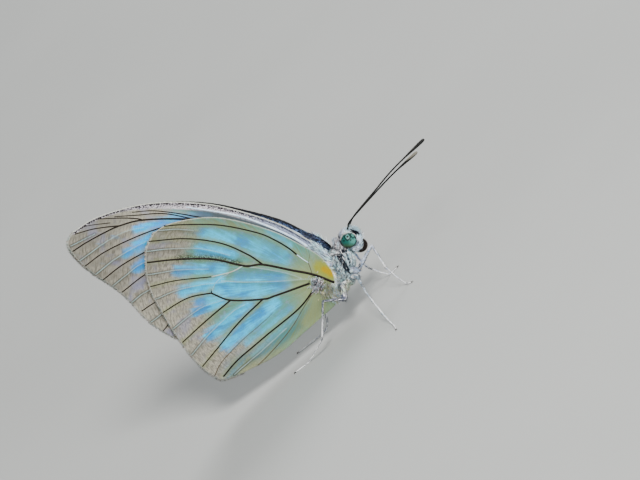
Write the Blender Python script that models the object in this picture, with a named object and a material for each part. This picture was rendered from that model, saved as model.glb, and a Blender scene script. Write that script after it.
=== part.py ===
"""A common wanderer butterfly, male, life size, standing on six feet with its wings closed over its back.

Lengths are modelled in millimetres from a datum on the floor under the middle of the thorax,
with +X towards the head, -Y to the butterfly's right and +Z up. The last step of each piece
moves it so that the middle of the whole model's box is over the origin, and turns it to metres.
The two sides are mirror images in the hindwings, eyes and palps. The left forewing is the right one's
mirror image a little further forward, and the feelers and legs are posed one by one.
"""
import math

import bmesh
import bpy
from mathutils import Matrix, Vector
from mathutils.geometry import delaunay_2d_cdt

METRES = 0.001
DATUM = Vector((3.385, 2.708, 0.0))
GAP = 0.3

# Trunk: three ovals, each with its centre, half sizes (along, across, deep) and pitch in degrees.
THORAX_CENTRE = Vector((-0.9, 0.0, 6.75))
THORAX_HALF = Vector((3.6, 1.95, 2.42))
THORAX_PITCH = 22.0
COLLAR_CENTRE = Vector((1.3, 0.0, 9.55))
COLLAR_HALF = Vector((0.95, 1.2, 0.95))
HEAD_CENTRE = Vector((3.15, 0.0, 9.35))
HEAD_HALF = Vector((1.65, 1.3, 1.55))
HEAD_PITCH = 10.0
ABDOMEN_CENTRE = Vector((-9.8, 0.0, 5.1))
ABDOMEN_HALF = Vector((6.6, 1.15, 1.35))
ABDOMEN_PITCH = 2.0
ABDOMEN_SEGMENTS = 8
ABDOMEN_GROOVE = 0.035
ABDOMEN_TAPER = 0.1

EYE_CENTRE = Vector((3.2, 0.72, 9.52))
EYE_HALF = Vector((1.08, 1.05, 1.08))
EYE_BACK = 0.62

# Wings: each is a bent sheet. Its middle lies this far from the plane of symmetry at the tip,
# and further out beside the thorax and the abdomen.
FOREWING_OFFSET = 0.55
HINDWING_OFFSET = 1.55
ABDOMEN_SWELL, ABDOMEN_REACH = 0.5, 3.0
THORAX_SWELL, THORAX_REACH = 1.4, 3.4
TAIL_END = Vector((-16.0, 0.0, 5.0))
MEMBRANE = 0.5
MEMBRANE_TIP = 0.3
TIP_BAND = 4.0
MARGIN_STEP = 1.3
MESH_STEP = 2.3
ROW_STEP = 2.0
MARGIN_CLEAR = 0.9

# Outlines run from the front of the root along the front margin to the tip and back, as (x, z).
FOREWING_OUTLINE = (
    (-0.1, 9.0), (-0.25, 10.9), (-1.1, 13.4), (-2.35, 17.3), (-4.8, 21.95), (-7.8, 26.35), (-11.9, 30.45),
    (-16.0, 33.25), (-20.8, 35.3), (-24.2, 35.75), (-25.9, 34.9), (-26.4, 32.8), (-26.2, 29.6),
    (-25.2, 24.3), (-25.15, 18.6), (-24.1, 14.4), (-23.0, 13.2), (-16.7, 11.3), (-7.7, 9.1), (-1.9, 8.2),
)
HINDWING_OUTLINE = (
    (-1.1, 8.3), (-1.2, 10.6), (-2.1, 13.4), (-3.65, 17.5), (-6.4, 22.2), (-9.2, 25.4), (-13.4, 28.0),
    (-15.9, 28.5), (-18.6, 27.05), (-21.4, 23.2), (-22.7, 19.0), (-23.75, 13.5), (-24.05, 9.3),
    (-23.6, 6.4), (-22.9, 5.3), (-20.2, 4.3), (-14.6, 3.25), (-9.9, 3.3), (-5.1, 3.5), (-3.9, 3.9),
    (-2.9, 5.4), (-1.7, 7.0),
)
# Veins, each from its root or fork to the margin, as (x, z). They stand up as ridges on the outer face.
VEIN_RIDGE = 0.16
VEIN_HALF_WIDTH = 0.35
VEIN_STEP = 1.7
CREST_CLEAR = 0.35
FOREWING_VEINS = {
    "subcosta": ((-0.7, 10.0), (-1.7, 14.2), (-4.6, 19.7), (-8.6, 26.1), (-11.6, 29.3)),
    "radius": ((-1.0, 9.2), (-2.5, 13.1), (-4.25, 17.5), (-6.4, 20.5), (-8.9, 23.75), (-11.7, 26.9),
               (-16.0, 30.6), (-19.0, 32.0), (-21.3, 32.8), (-26.1, 33.6)),
    "first radial": ((-6.4, 20.5), (-8.9, 24.7), (-13.5, 30.3), (-15.0, 31.9)),
    "third radial": ((-16.0, 30.6), (-18.0, 32.75), (-20.4, 34.7)),
    "fourth radial": ((-19.0, 32.0), (-22.3, 34.3), (-24.3, 35.2)),
    "first medial": ((-8.9, 23.75), (-12.0, 26.4), (-15.4, 28.3), (-19.0, 29.65), (-23.1, 30.5), (-26.1, 30.8)),
    "second medial": ((-13.0, 24.3), (-18.7, 26.8), (-22.5, 27.5), (-25.6, 27.6)),
    "cell end": ((-8.9, 23.75), (-11.2, 23.6), (-13.0, 24.3)),
    "cubitus": ((-1.4, 8.8), (-5.1, 12.2), (-9.15, 15.6), (-11.8, 17.4), (-13.3, 20.6), (-13.0, 24.3)),
    "first cubital": ((-13.3, 20.6), (-17.3, 23.3), (-21.0, 24.3), (-24.9, 24.45)),
    "second cubital": ((-11.8, 17.4), (-17.3, 19.4), (-22.9, 20.3), (-24.8, 20.5)),
    "anal": ((-1.7, 8.6), (-6.4, 10.3), (-14.0, 14.0), (-21.3, 16.3), (-24.5, 16.2)),
}
HINDWING_VEINS = {
    "subcosta": ((-3.8, 7.6), (-3.6, 9.5), (-3.1, 10.6), (-3.5, 13.8), (-5.5, 19.0), (-8.5, 23.2),
                 (-10.2, 25.0), (-13.9, 27.8)),
    "humeral": ((-3.1, 10.6), (-2.2, 11.3), (-1.9, 12.1)),
    "radial sector": ((-8.0, 14.6), (-8.5, 17.4), (-10.2, 21.2), (-13.4, 25.0), (-17.1, 27.7)),
    "cell front": ((-3.8, 7.6), (-4.3, 9.8), (-8.0, 14.6), (-10.0, 16.5), (-12.6, 20.2), (-16.3, 23.5),
                   (-19.4, 25.7)),
    "second medial": ((-10.0, 16.5), (-11.8, 16.9), (-14.3, 18.2), (-18.3, 21.1), (-21.4, 22.8)),
    "cubitus": ((-3.8, 7.6), (-4.8, 8.4), (-7.3, 9.3), (-11.2, 10.9), (-14.6, 13.8), (-15.9, 16.4)),
    "cell end": ((-11.8, 16.9), (-14.4, 17.2), (-15.9, 16.4)),
    "third medial": ((-15.9, 16.4), (-18.0, 17.7), (-19.75, 18.3), (-22.5, 18.7)),
    "first cubital": ((-14.6, 13.8), (-19.1, 13.7), (-23.5, 13.5)),
    "second cubital": ((-11.2, 10.9), (-15.9, 10.5), (-21.0, 9.5), (-23.8, 8.9)),
    "second anal": ((-3.8, 7.6), (-8.3, 6.6), (-14.4, 6.6), (-19.4, 6.4), (-22.5, 5.8)),
    "third anal": ((-3.8, 7.6), (-7.85, 6.1), (-14.0, 4.5), (-17.6, 4.1)),
}
# A root boss is where the sheet thickens inwards to meet the thorax: (x, z) and its radius.
FOREWING_BOSS = ((-0.9, 8.9), 1.2)
HINDWING_BOSS = ((-2.5, 6.7), 1.7)
# The left forewing is a little further forward and up at its root, and turned back in degrees.
LEFT_FOREWING_SHIFT = Vector((0.45, 0.42))
LEFT_FOREWING_TURN = 1.4

# Legs: the joints from hip to toe, each (x, y, z), and the thickness there as a radius.
LEG_RADII = (0.42, 0.36, 0.36, 0.27, 0.27, 0.25, 0.25)
FOOT = 0.19
LEG_STEP = 0.85
JOINT_ROUNDING = 0.12
LEGS = {
    "leg_fore_right": ((0.4, -0.9, 5.9), (1.15, -1.5, 5.25), (5.2, -2.5, 7.2), (4.7, -3.5, 3.7),
                       (5.05, -3.95, 1.6), (5.4, -4.0, FOOT), (6.1, -4.5, FOOT)),
    "leg_mid_right": ((-0.4, -0.8, 5.4), (0.7, -1.9, 4.8), (0.8, -6.2, 3.8), (1.25, -10.6, 1.5),
                      (1.45, -11.8, 0.85), (1.7, -12.9, FOOT), (1.85, -14.6, FOOT)),
    "leg_hind_right": ((-1.7, -0.8, 5.2), (-2.5, -3.1, 3.8), (-4.8, -4.0, 6.0), (-8.4, -4.5, 2.0),
                       (-10.3, -3.9, 1.0), (-12.2, -3.3, FOOT), (-14.6, -3.0, FOOT)),
    "leg_fore_left": ((0.4, 0.9, 5.9), (0.9, 1.8, 5.4), (1.75, 3.1, 6.5), (1.7, 3.0, 3.3),
                      (2.5, 3.0, 1.4), (3.3, 3.1, FOOT), (4.7, 3.45, FOOT)),
    "leg_mid_left": ((-0.4, 0.8, 5.4), (-0.5, 1.9, 4.4), (-1.5, 5.0, 4.6), (-3.2, 7.0, 1.6),
                     (-3.7, 7.6, 0.8), (-4.3, 8.2, FOOT), (-5.6, 9.0, FOOT)),
    "leg_hind_left": ((-1.7, 0.8, 5.2), (-2.6, 3.0, 3.6), (-5.0, 3.8, 5.4), (-6.6, 2.4, 2.2),
                      (-7.6, 2.0, 0.75), (-8.5, 1.85, FOOT), (-13.4, 2.3, FOOT)),
}

# Feelers: points from root to tip. The last part swells into the club.
FEELER_RADIUS = 0.25
CLUB_RADIUS = 0.4
FEELER_STEP = 0.8
CLUB_START = 0.74
CLUB_RISE = 0.14
CLUB_FALL = 0.05
FEELERS = {
    "antenna_right": ((3.6, -0.4, 10.0), (4.5, -0.6, 10.95), (10.3, -2.4, 12.95), (19.0, -5.0, 14.45)),
    "antenna_left": ((3.6, 0.4, 9.9), (4.5, 0.6, 10.6), (9.7, 1.5, 11.55), (19.7, 3.0, 12.3)),
}
PALP_PATH = ((2.7, 0.75, 8.0), (3.2, 0.85, 7.4), (4.1, 0.85, 7.6), (4.85, 0.7, 8.45))
PALP_RADII = (0.3, 0.34, 0.36, 0.16)
PALP_STEP = 0.35
COIL_ROOT = (2.6, 0.0, 8.2)
COIL_CENTRE = Vector((3.6, 0.0, 7.0))
COIL_START = math.radians(150.0)
COIL_STEPS = 16
COIL_RADIUS = 0.78
COIL_TURNS = 1.45
COIL_TIGHTENING = 0.5
COIL_THICKNESS = 0.2
COIL_TAPER = 0.35


def remove_everything():
    for thing in list(bpy.data.objects):
        bpy.data.objects.remove(thing)


def make_material(name, colour, roughness, metallic=0.0):
    material = bpy.data.materials.new(name)
    material.use_nodes = True
    shader = material.node_tree.nodes["Principled BSDF"]
    shader.inputs["Base Color"].default_value = (*colour, 1.0)
    shader.inputs["Roughness"].default_value = roughness
    shader.inputs["Metallic"].default_value = metallic
    return material


def smooth_curve(points, step, closed=False):
    """Points about one step apart along a smooth curve through the given points."""
    points = [Vector(point) for point in points]
    count = len(points)
    spans = count if closed else count - 1
    result = []
    for index in range(spans):
        b = points[index]
        c = points[(index + 1) % count]
        a = points[index - 1] if closed or index > 0 else 2.0 * b - c
        d = points[(index + 2) % count] if closed or index + 2 < count else 2.0 * c - b
        pieces = max(1, round((c - b).length / step))
        for piece in range(pieces):
            t = piece / pieces
            result.append(0.5 * ((2.0 * b) + (c - a) * t + (2.0 * a - 5.0 * b + 4.0 * c - d) * t * t
                                 + (3.0 * b - a - 3.0 * c + d) * t ** 3))
    if not closed:
        result.append(points[-1])
    return result


def new_object(name, mesh):
    piece = bpy.data.objects.new(name, mesh)
    bpy.context.scene.collection.objects.link(piece)
    return piece


def object_from(name, bm):
    mesh = bpy.data.meshes.new(name)
    bm.to_mesh(mesh)
    bm.free()
    return new_object(name, mesh)


def ovoid(name, centre, half, pitch=0.0, extra=0.0, around=20, along=14, profile=None):
    """An egg with its poles along X, pitched up at the front. A profile gives its thickness along it."""
    bm = bmesh.new()
    bmesh.ops.create_uvsphere(bm, u_segments=around, v_segments=along, radius=1.0,
                              matrix=Matrix.Rotation(math.radians(90.0), 4, "Y"))
    for vertex in bm.verts:
        scale = profile(vertex.co.x) if profile else 1.0
        vertex.co = Vector((vertex.co.x * (half.x + extra), vertex.co.y * (half.y * scale + extra),
                            vertex.co.z * (half.z * scale + extra)))
    turn = Matrix.Rotation(math.radians(-pitch), 4, "Y")
    bmesh.ops.transform(bm, verts=bm.verts, matrix=Matrix.Translation(centre) @ turn)
    bmesh.ops.recalc_face_normals(bm, faces=bm.faces)
    return object_from(name, bm)


def tube(name, points, radii, sides=8):
    """A round limb through the points, closed at both ends."""
    curve = bpy.data.curves.new(name, "CURVE")
    curve.dimensions = "3D"
    curve.bevel_depth = 1.0
    curve.bevel_resolution = (sides - 4) // 2
    curve.use_fill_caps = True
    spline = curve.splines.new("POLY")
    spline.points.add(len(points) - 1)
    for spot, point, radius in zip(spline.points, points, radii):
        spot.co = (*point, 1.0)
        spot.radius = radius
    guide = new_object(name + "_guide", curve)
    mesh = bpy.data.meshes.new_from_object(guide.evaluated_get(bpy.context.evaluated_depsgraph_get()))
    bpy.data.objects.remove(guide)
    bm = bmesh.new()
    bm.from_mesh(mesh)
    bpy.data.meshes.remove(mesh)
    bmesh.ops.remove_doubles(bm, verts=bm.verts, dist=0.001)
    bmesh.ops.recalc_face_normals(bm, faces=bm.faces)
    return object_from(name, bm)


def cut_away(piece, *cutters):
    """Takes the cutters' space out of the piece and removes them."""
    combine(piece, cutters, "DIFFERENCE")


def join_to(piece, *others):
    """Fuses the others into the piece and removes them."""
    combine(piece, others, "UNION")


def combine(piece, tools, operation):
    """Works each tool on the piece as one boolean, removes the tools and keeps the largest body."""
    for tool in tools:
        modifier = piece.modifiers.new("Combine", "BOOLEAN")
        modifier.operation = operation
        modifier.solver = "EXACT"
        modifier.object = tool
    graph = bpy.context.evaluated_depsgraph_get()
    shape = bpy.data.meshes.new_from_object(piece.evaluated_get(graph))
    piece.modifiers.clear()
    old = piece.data
    piece.data = shape
    bpy.data.meshes.remove(old)
    for tool in tools:
        bpy.data.objects.remove(tool)
    keep_largest(piece)


def keep_largest(piece):
    """Leaves only the closed surface with the largest area, split into triangles."""
    bm = bmesh.new()
    bm.from_mesh(piece.data)
    bmesh.ops.remove_doubles(bm, verts=bm.verts, dist=0.0005)
    bmesh.ops.dissolve_degenerate(bm, edges=bm.edges, dist=0.001)
    islands = []
    left = set(bm.faces)
    while left:
        island = {left.pop()}
        front = list(island)
        while front:
            face = front.pop()
            for edge in face.edges:
                for other in edge.link_faces:
                    if other in left:
                        left.discard(other)
                        island.add(other)
                        front.append(other)
        islands.append(island)
    islands.sort(key=lambda island: sum(face.calc_area() for face in island))
    scraps = [face for island in islands[:-1] for face in island]
    bmesh.ops.delete(bm, geom=scraps, context="FACES")
    bmesh.ops.triangulate(bm, faces=bm.faces)
    bm.to_mesh(piece.data)
    bm.free()


def stand_on_floor(piece):
    """Cuts the sole flat at floor level."""
    bm = bmesh.new()
    bm.from_mesh(piece.data)
    geometry = list(bm.verts) + list(bm.edges) + list(bm.faces)
    bmesh.ops.bisect_plane(bm, geom=geometry, dist=0.0001, plane_co=(0.0, 0.0, 0.0),
                           plane_no=(0.0, 0.0, 1.0), clear_inner=True)
    rim = [edge for edge in bm.edges if edge.is_boundary]
    bmesh.ops.holes_fill(bm, edges=rim, sides=0)
    bmesh.ops.recalc_face_normals(bm, faces=bm.faces)
    bm.to_mesh(piece.data)
    bm.free()


def finish(piece, name, material, smooth=True):
    """Names the piece, moves it over the origin, turns millimetres to metres and gives its finish."""
    piece.name = name
    piece.data.name = name
    piece.data.transform(Matrix.Scale(METRES, 4) @ Matrix.Translation(DATUM))
    piece.data.materials.clear()
    piece.data.materials.append(material)
    if smooth:
        piece.data.shade_smooth()
        piece.data.set_sharp_from_angle(angle=math.radians(50.0))


def thorax_cutter(name):
    return ovoid(name, THORAX_CENTRE, THORAX_HALF, THORAX_PITCH, extra=GAP)


def head_cutter(name):
    return ovoid(name, HEAD_CENTRE, HEAD_HALF, HEAD_PITCH, extra=GAP)


def trunk_half_width(x, z):
    """How far the thorax reaches sideways at this place, 0 where it doesn't reach."""
    pitch = math.radians(THORAX_PITCH)
    dx = x - THORAX_CENTRE.x
    dz = z - THORAX_CENTRE.z
    along = (dx * math.cos(pitch) + dz * math.sin(pitch)) / THORAX_HALF.x
    deep = (dz * math.cos(pitch) - dx * math.sin(pitch)) / THORAX_HALF.z
    return THORAX_HALF.y * math.sqrt(max(0.0, 1.0 - along * along - deep * deep))


def distance_to_line(x, z, start, end):
    point = Vector((x, z))
    a = Vector((start.x, start.z))
    b = Vector((end.x, end.z))
    t = min(1.0, max(0.0, (point - a).dot(b - a) / (b - a).length_squared))
    return (point - a.lerp(b, t)).length


def sheet_swell(x, z):
    """How much further out the wings lie here than at their tips."""
    beside_abdomen = distance_to_line(x, z, THORAX_CENTRE, TAIL_END)
    beside_thorax = math.hypot(x - THORAX_CENTRE.x, z - THORAX_CENTRE.z)
    return (ABDOMEN_SWELL * math.exp(-(beside_abdomen / ABDOMEN_REACH) ** 2)
            + THORAX_SWELL * math.exp(-(beside_thorax / THORAX_REACH) ** 2))


def smooth_step(value):
    value = min(1.0, max(0.0, value))
    return value * value * (3.0 - 2.0 * value)


def inside(point, loop):
    hit = False
    for a, b in zip(loop, loop[1:] + loop[:1]):
        if (a.y > point.y) != (b.y > point.y):
            if point.x < a.x + (point.y - a.y) * (b.x - a.x) / (b.y - a.y):
                hit = not hit
    return hit


def distance_to_path(point, path):
    nearest = math.inf
    for a, b in zip(path, path[1:]):
        run = b - a
        t = min(1.0, max(0.0, (point - a).dot(run) / max(run.length_squared, 1e-9)))
        nearest = min(nearest, (point - a - t * run).length)
    return nearest


def vein_spots(rim, border, paths):
    """Points along the crest and both feet of each vein, and the edges that join the crest points."""
    spots = []
    edges = []
    for path in paths:
        last = None
        for index, spot in enumerate(path):
            run = path[min(index + 1, len(path) - 1)] - path[max(index - 1, 0)]
            across = Vector((-run.y, run.x)).normalized() * VEIN_HALF_WIDTH
            if not inside(spot, rim) or distance_to_path(spot, border) < CREST_CLEAR:
                last = None
                continue
            spots.append(spot)
            if last is not None:
                edges.append((last, len(spots) - 1))
            last = len(spots) - 1
            for foot in (spot + across, spot - across):
                nearest = min(distance_to_path(foot, other) for other in paths)
                if inside(foot, rim) and distance_to_path(foot, border) > CREST_CLEAR:
                    if nearest > 0.8 * VEIN_HALF_WIDTH:
                        spots.append(foot)
    return spots, edges


def wing(name, side, outline, veins, offset, boss, material):
    """A wing as one bent sheet, its two faces split into the same triangles. Side is -1 for the right."""
    rim = smooth_curve(outline, MARGIN_STEP, closed=True)
    border = rim + rim[:1]
    paths = [smooth_curve(vein, VEIN_STEP) for vein in veins.values()]
    along_veins, crest_edges = vein_spots(rim, border, paths)
    spots = rim + along_veins
    low = Vector((min(p.x for p in rim), min(p.y for p in rim)))
    high = Vector((max(p.x for p in rim), max(p.y for p in rim)))
    rows = int((high.y - low.y) / ROW_STEP) + 1
    for row in range(rows):
        y = low.y + row * ROW_STEP
        x = low.x + (0.5 * MESH_STEP if row % 2 else 0.0)
        while x < high.x:
            spot = Vector((x, y))
            clear_of_veins = min(distance_to_path(spot, path) for path in paths) > MARGIN_CLEAR
            if clear_of_veins and inside(spot, rim) and distance_to_path(spot, border) > MARGIN_CLEAR:
                spots.append(spot)
            x += MESH_STEP
    edges = [(index, (index + 1) % len(rim)) for index in range(len(rim))]
    edges += [(start + len(rim), end + len(rim)) for start, end in crest_edges]
    flat, _, triangles, *_ = delaunay_2d_cdt(spots, edges, [], 1, 1e-6)
    bm = bmesh.new()
    outer = []
    inner = []
    (boss_x, boss_z), boss_radius = boss
    for spot in flat:
        middle = offset + sheet_swell(spot.x, spot.y)
        edge = distance_to_path(spot, border)
        thick = MEMBRANE_TIP + (MEMBRANE - MEMBRANE_TIP) * smooth_step(edge / TIP_BAND)
        wall = trunk_half_width(spot.x, spot.y)
        crest = min(distance_to_path(spot, path) for path in paths)
        ridge = VEIN_RIDGE * max(0.0, 1.0 - crest / VEIN_HALF_WIDTH) * smooth_step(edge / CREST_CLEAR)
        inward = middle - 0.5 * thick
        near = smooth_step(1.0 - math.hypot(spot.x - boss_x, spot.y - boss_z) / boss_radius)
        if wall > 0.0:
            inward += near * (wall + GAP - inward)
            inward = max(inward, wall + GAP)
        outward = max(middle + 0.5 * thick + ridge, inward + MEMBRANE_TIP)
        outer.append(bm.verts.new((spot.x, side * outward, spot.y)))
        inner.append(bm.verts.new((spot.x, side * inward, spot.y)))
    uses = {}
    for a, b, c in triangles:
        bm.faces.new((outer[a], outer[b], outer[c]))
        bm.faces.new((inner[c], inner[b], inner[a]))
        for start, end in ((a, b), (b, c), (c, a)):
            uses[(start, end)] = (end, start)
    for (start, end), back in uses.items():
        if back not in uses:
            bm.faces.new((outer[start], inner[start], inner[end]))
            bm.faces.new((outer[start], inner[end], outer[end]))
    bmesh.ops.recalc_face_normals(bm, faces=bm.faces)
    finish(object_from(name, bm), name, material)


def limb_path(joints, radii, step):
    """Straight stretches between the joints, each with a slight swelling and a rounded joint."""
    points = []
    sizes = []
    for index in range(len(joints) - 1):
        a = Vector(joints[index])
        b = Vector(joints[index + 1])
        pieces = max(2, round((b - a).length / step))
        for piece in range(pieces):
            t = piece / pieces
            points.append(a.lerp(b, t))
            sizes.append(radii[index] * (1.0 - t) + radii[index + 1] * t)
    points.append(Vector(joints[-1]))
    sizes.append(radii[-1])
    rounded = [points[0]]
    for before, here, after in zip(points, points[1:], points[2:]):
        rounded.append(JOINT_ROUNDING * (before + after) + (1.0 - 2.0 * JOINT_ROUNDING) * here)
    rounded.append(points[-1])
    return rounded, sizes


def make_trunk(skin, dark):
    thorax = ovoid("thorax", THORAX_CENTRE, THORAX_HALF, THORAX_PITCH, around=24, along=16)
    join_to(thorax, ovoid("collar", COLLAR_CENTRE, COLLAR_HALF))
    cut_away(thorax, head_cutter("room_for_head"))
    finish(thorax, "thorax", skin)

    def ringed(position):
        wave = math.cos((position + 1.0) * math.pi * ABDOMEN_SEGMENTS)
        return 1.0 - ABDOMEN_GROOVE * wave - ABDOMEN_TAPER * position

    abdomen = ovoid("abdomen", ABDOMEN_CENTRE, ABDOMEN_HALF, ABDOMEN_PITCH, around=18, along=34, profile=ringed)
    cut_away(abdomen, thorax_cutter("room_for_thorax"))
    finish(abdomen, "abdomen", dark)


def make_eye_dome(name, side, extra):
    centre = Vector((EYE_CENTRE.x, side * EYE_CENTRE.y, EYE_CENTRE.z))
    dome = ovoid(name, centre, EYE_HALF, extra=extra, around=20, along=14)
    bm = bmesh.new()
    bm.from_mesh(dome.data)
    geometry = list(bm.verts) + list(bm.edges) + list(bm.faces)
    bmesh.ops.bisect_plane(bm, geom=geometry, dist=0.0001, plane_co=(0.0, side * (EYE_BACK - extra), 0.0),
                           plane_no=(0.0, side, 0.0), clear_inner=True)
    bmesh.ops.holes_fill(bm, edges=[edge for edge in bm.edges if edge.is_boundary], sides=0)
    bmesh.ops.recalc_face_normals(bm, faces=bm.faces)
    bm.to_mesh(dome.data)
    bm.free()
    return dome


def make_head(skin, eye_finish):
    head = ovoid("head", HEAD_CENTRE, HEAD_HALF, HEAD_PITCH, around=24, along=16)
    cut_away(head, make_eye_dome("socket_right", -1.0, GAP), make_eye_dome("socket_left", 1.0, GAP))
    finish(head, "head", skin)
    for side, word in ((-1.0, "right"), (1.0, "left")):
        finish(make_eye_dome("eye_" + word, side, 0.0), "eye_" + word, eye_finish)


def make_mouthparts(skin, dark):
    for side, word in ((-1.0, "right"), (1.0, "left")):
        path = smooth_curve([(x, side * y, z) for x, y, z in PALP_PATH], PALP_STEP)
        sizes = []
        for index in range(len(path)):
            place = index / (len(path) - 1) * (len(PALP_RADII) - 1)
            step = min(int(place), len(PALP_RADII) - 2)
            sizes.append(PALP_RADII[step] + (PALP_RADII[step + 1] - PALP_RADII[step]) * (place - step))
        palp = tube("palp_" + word, path, sizes)
        cut_away(palp, head_cutter("room_for_head"))
        finish(palp, "palp_" + word, skin)
    path = [COIL_ROOT]
    for index in range(int(COIL_TURNS * COIL_STEPS) + 1):
        turn = index / COIL_STEPS
        radius = COIL_RADIUS - COIL_TIGHTENING * turn
        angle = COIL_START - turn * 2.0 * math.pi
        path.append((COIL_CENTRE.x + radius * math.cos(angle), 0.0, COIL_CENTRE.z + radius * math.sin(angle)))
    sizes = [COIL_THICKNESS * (1.0 - COIL_TAPER * index / len(path)) for index in range(len(path))]
    coil = tube("proboscis", path, sizes)
    cut_away(coil, head_cutter("room_for_head"))
    finish(coil, "proboscis", dark)


def make_feelers(dark):
    for name, points in FEELERS.items():
        path = smooth_curve(points, FEELER_STEP)
        sizes = []
        for index in range(len(path)):
            place = index / (len(path) - 1)
            club = smooth_step((place - CLUB_START) / CLUB_RISE)
            club *= 1.0 - 0.5 * smooth_step((place - 1.0 + CLUB_FALL) / CLUB_FALL)
            sizes.append(FEELER_RADIUS + (CLUB_RADIUS - FEELER_RADIUS) * club)
        feeler = tube(name, path, sizes)
        cut_away(feeler, head_cutter("room_for_head"))
        finish(feeler, name, dark)


def make_legs(finish_for_legs):
    for name, joints in LEGS.items():
        points, sizes = limb_path(joints, LEG_RADII, LEG_STEP)
        leg = tube(name, points, sizes)
        cut_away(leg, thorax_cutter("room_for_thorax"))
        stand_on_floor(leg)
        finish(leg, name, finish_for_legs)


def turned_back(points):
    """The left forewing's place for points of the right one."""
    root = Vector(FOREWING_BOSS[0])
    turn = Matrix.Rotation(math.radians(LEFT_FOREWING_TURN), 2)
    return [turn @ (Vector(point) - root) + root + LEFT_FOREWING_SHIFT for point in points]


def make_wings(fore_finish, hind_finish):
    for side, word in ((-1.0, "right"), (1.0, "left")):
        outline = FOREWING_OUTLINE
        veins = FOREWING_VEINS
        if word == "left":
            outline = turned_back(outline)
            veins = {name: turned_back(vein) for name, vein in veins.items()}
        wing("forewing_" + word, side, outline, veins, FOREWING_OFFSET, FOREWING_BOSS, fore_finish)
        wing("hindwing_" + word, side, HINDWING_OUTLINE, HINDWING_VEINS, HINDWING_OFFSET, HINDWING_BOSS,
             hind_finish)


def main():
    remove_everything()
    white_hair = make_material("white hair", (0.42, 0.50, 0.56), 0.85)
    dark_cuticle = make_material("dark cuticle", (0.030, 0.024, 0.022), 0.45)
    grey_scales = make_material("grey scales", (0.30, 0.36, 0.38), 0.80)
    eye_green = make_material("eye green", (0.06, 0.22, 0.18), 0.15)
    wing_grey = make_material("forewing scales", (0.25, 0.30, 0.32), 0.75)
    wing_blue = make_material("hindwing scales", (0.18, 0.38, 0.42), 0.75)
    leg_white = make_material("leg scales", (0.45, 0.54, 0.58), 0.70)
    make_trunk(white_hair, grey_scales)
    make_head(white_hair, eye_green)
    make_mouthparts(white_hair, dark_cuticle)
    make_feelers(dark_cuticle)
    make_legs(leg_white)
    make_wings(wing_grey, wing_blue)


main()
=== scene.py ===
"""The looks of a common wanderer butterfly, life size, standing with its wings closed over its back.

Shapes are worked out in millimetres from a datum on the floor under the thorax, with +X to the head,
-Y to the butterfly's right and +Z up. Each piece is moved to its place and turned to metres at its end.
"""
import math

import bmesh
import bpy
import numpy as np
from mathutils import Matrix, Vector

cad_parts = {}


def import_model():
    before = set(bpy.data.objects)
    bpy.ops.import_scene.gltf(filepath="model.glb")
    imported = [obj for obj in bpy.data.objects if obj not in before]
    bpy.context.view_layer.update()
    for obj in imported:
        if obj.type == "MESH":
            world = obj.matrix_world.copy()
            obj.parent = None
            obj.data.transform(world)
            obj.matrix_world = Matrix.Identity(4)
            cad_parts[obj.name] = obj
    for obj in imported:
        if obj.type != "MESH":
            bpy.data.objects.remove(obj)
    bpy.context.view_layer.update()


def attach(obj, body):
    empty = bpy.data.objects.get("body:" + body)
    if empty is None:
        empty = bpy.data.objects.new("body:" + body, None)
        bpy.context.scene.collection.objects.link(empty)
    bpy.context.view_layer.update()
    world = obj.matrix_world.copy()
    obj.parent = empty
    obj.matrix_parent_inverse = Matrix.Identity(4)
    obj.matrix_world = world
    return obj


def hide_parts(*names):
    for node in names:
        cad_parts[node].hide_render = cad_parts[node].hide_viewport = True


MM = 0.001
DATUM = Vector((3.385, 2.708, 0.0))
BODY = "root"
SIDES = ((-1.0, "right"), (1.0, "left"))

# Camera: where it looks from in degrees, how far off it is, and the width of its view there.
CAMERA_AZIMUTH = 10.0
CAMERA_ELEVATION = 20.0
CAMERA_ROLL = 43.0
CAMERA_DISTANCE = 1000.0
VIEW_WIDTH = 88.0
VIEW_TARGET = Vector((0.0, 0.0, 11.71))
SENSOR_WIDTH = 36.0

# Trunk under its hair: centre, half sizes and pitch in degrees of each oval.
THORAX_CENTRE = Vector((-0.9, 0.0, 6.75))
TRUNK_OVALS = {
    "thorax": (THORAX_CENTRE, (3.2, 1.7, 2.15), 22.0),
    "neck": (Vector((1.4, 0.0, 8.5)), (0.95, 0.75, 0.9), 30.0),
    "right collar lobe": (Vector((1.3, -0.5, 9.75)), (0.5, 0.5, 0.6), 0.0),
    "left collar lobe": (Vector((1.3, 0.5, 9.75)), (0.5, 0.5, 0.6), 0.0),
    "head": (Vector((3.05, 0.0, 9.25)), (1.35, 1.0, 1.25), 10.0),
    "face": (Vector((3.75, 0.0, 8.95)), (0.75, 0.62, 1.0), 20.0),
    "chin": (Vector((3.15, 0.0, 8.3)), (0.85, 0.8, 0.6), 0.0),
}
# Ovals of the left side, which the right side mirrors: one below the forewing's root, and one for each hip.
SIDE_OVALS = (
    ((-0.1, 1.35, 8.5), (1.15, 0.45, 0.6), 35.0),
    ((0.2, 0.7, 5.5), (0.5, 0.5, 0.75), 20.0),
    ((-0.65, 0.85, 4.95), (0.65, 0.55, 0.95), 20.0),
    ((-1.75, 0.95, 4.75), (0.95, 0.65, 0.9), 20.0),
)
ABDOMEN_CENTRE = Vector((-9.6, 0.0, 5.1))
ABDOMEN_HALF = (6.3, 1.0, 1.2)
ABDOMEN_PITCH = 2.0
ABDOMEN_SEGMENTS = 8
ABDOMEN_GROOVE = 0.07
SKIN_VOXEL = 0.12
LEG_SKIN_REACH = 0.36
# How light the skin is beside the hair that it shows through: darker than the hair, partly its own tone and
# partly painted shade for the gaps between tufts.
UNDER_HAIR = 0.45
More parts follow.
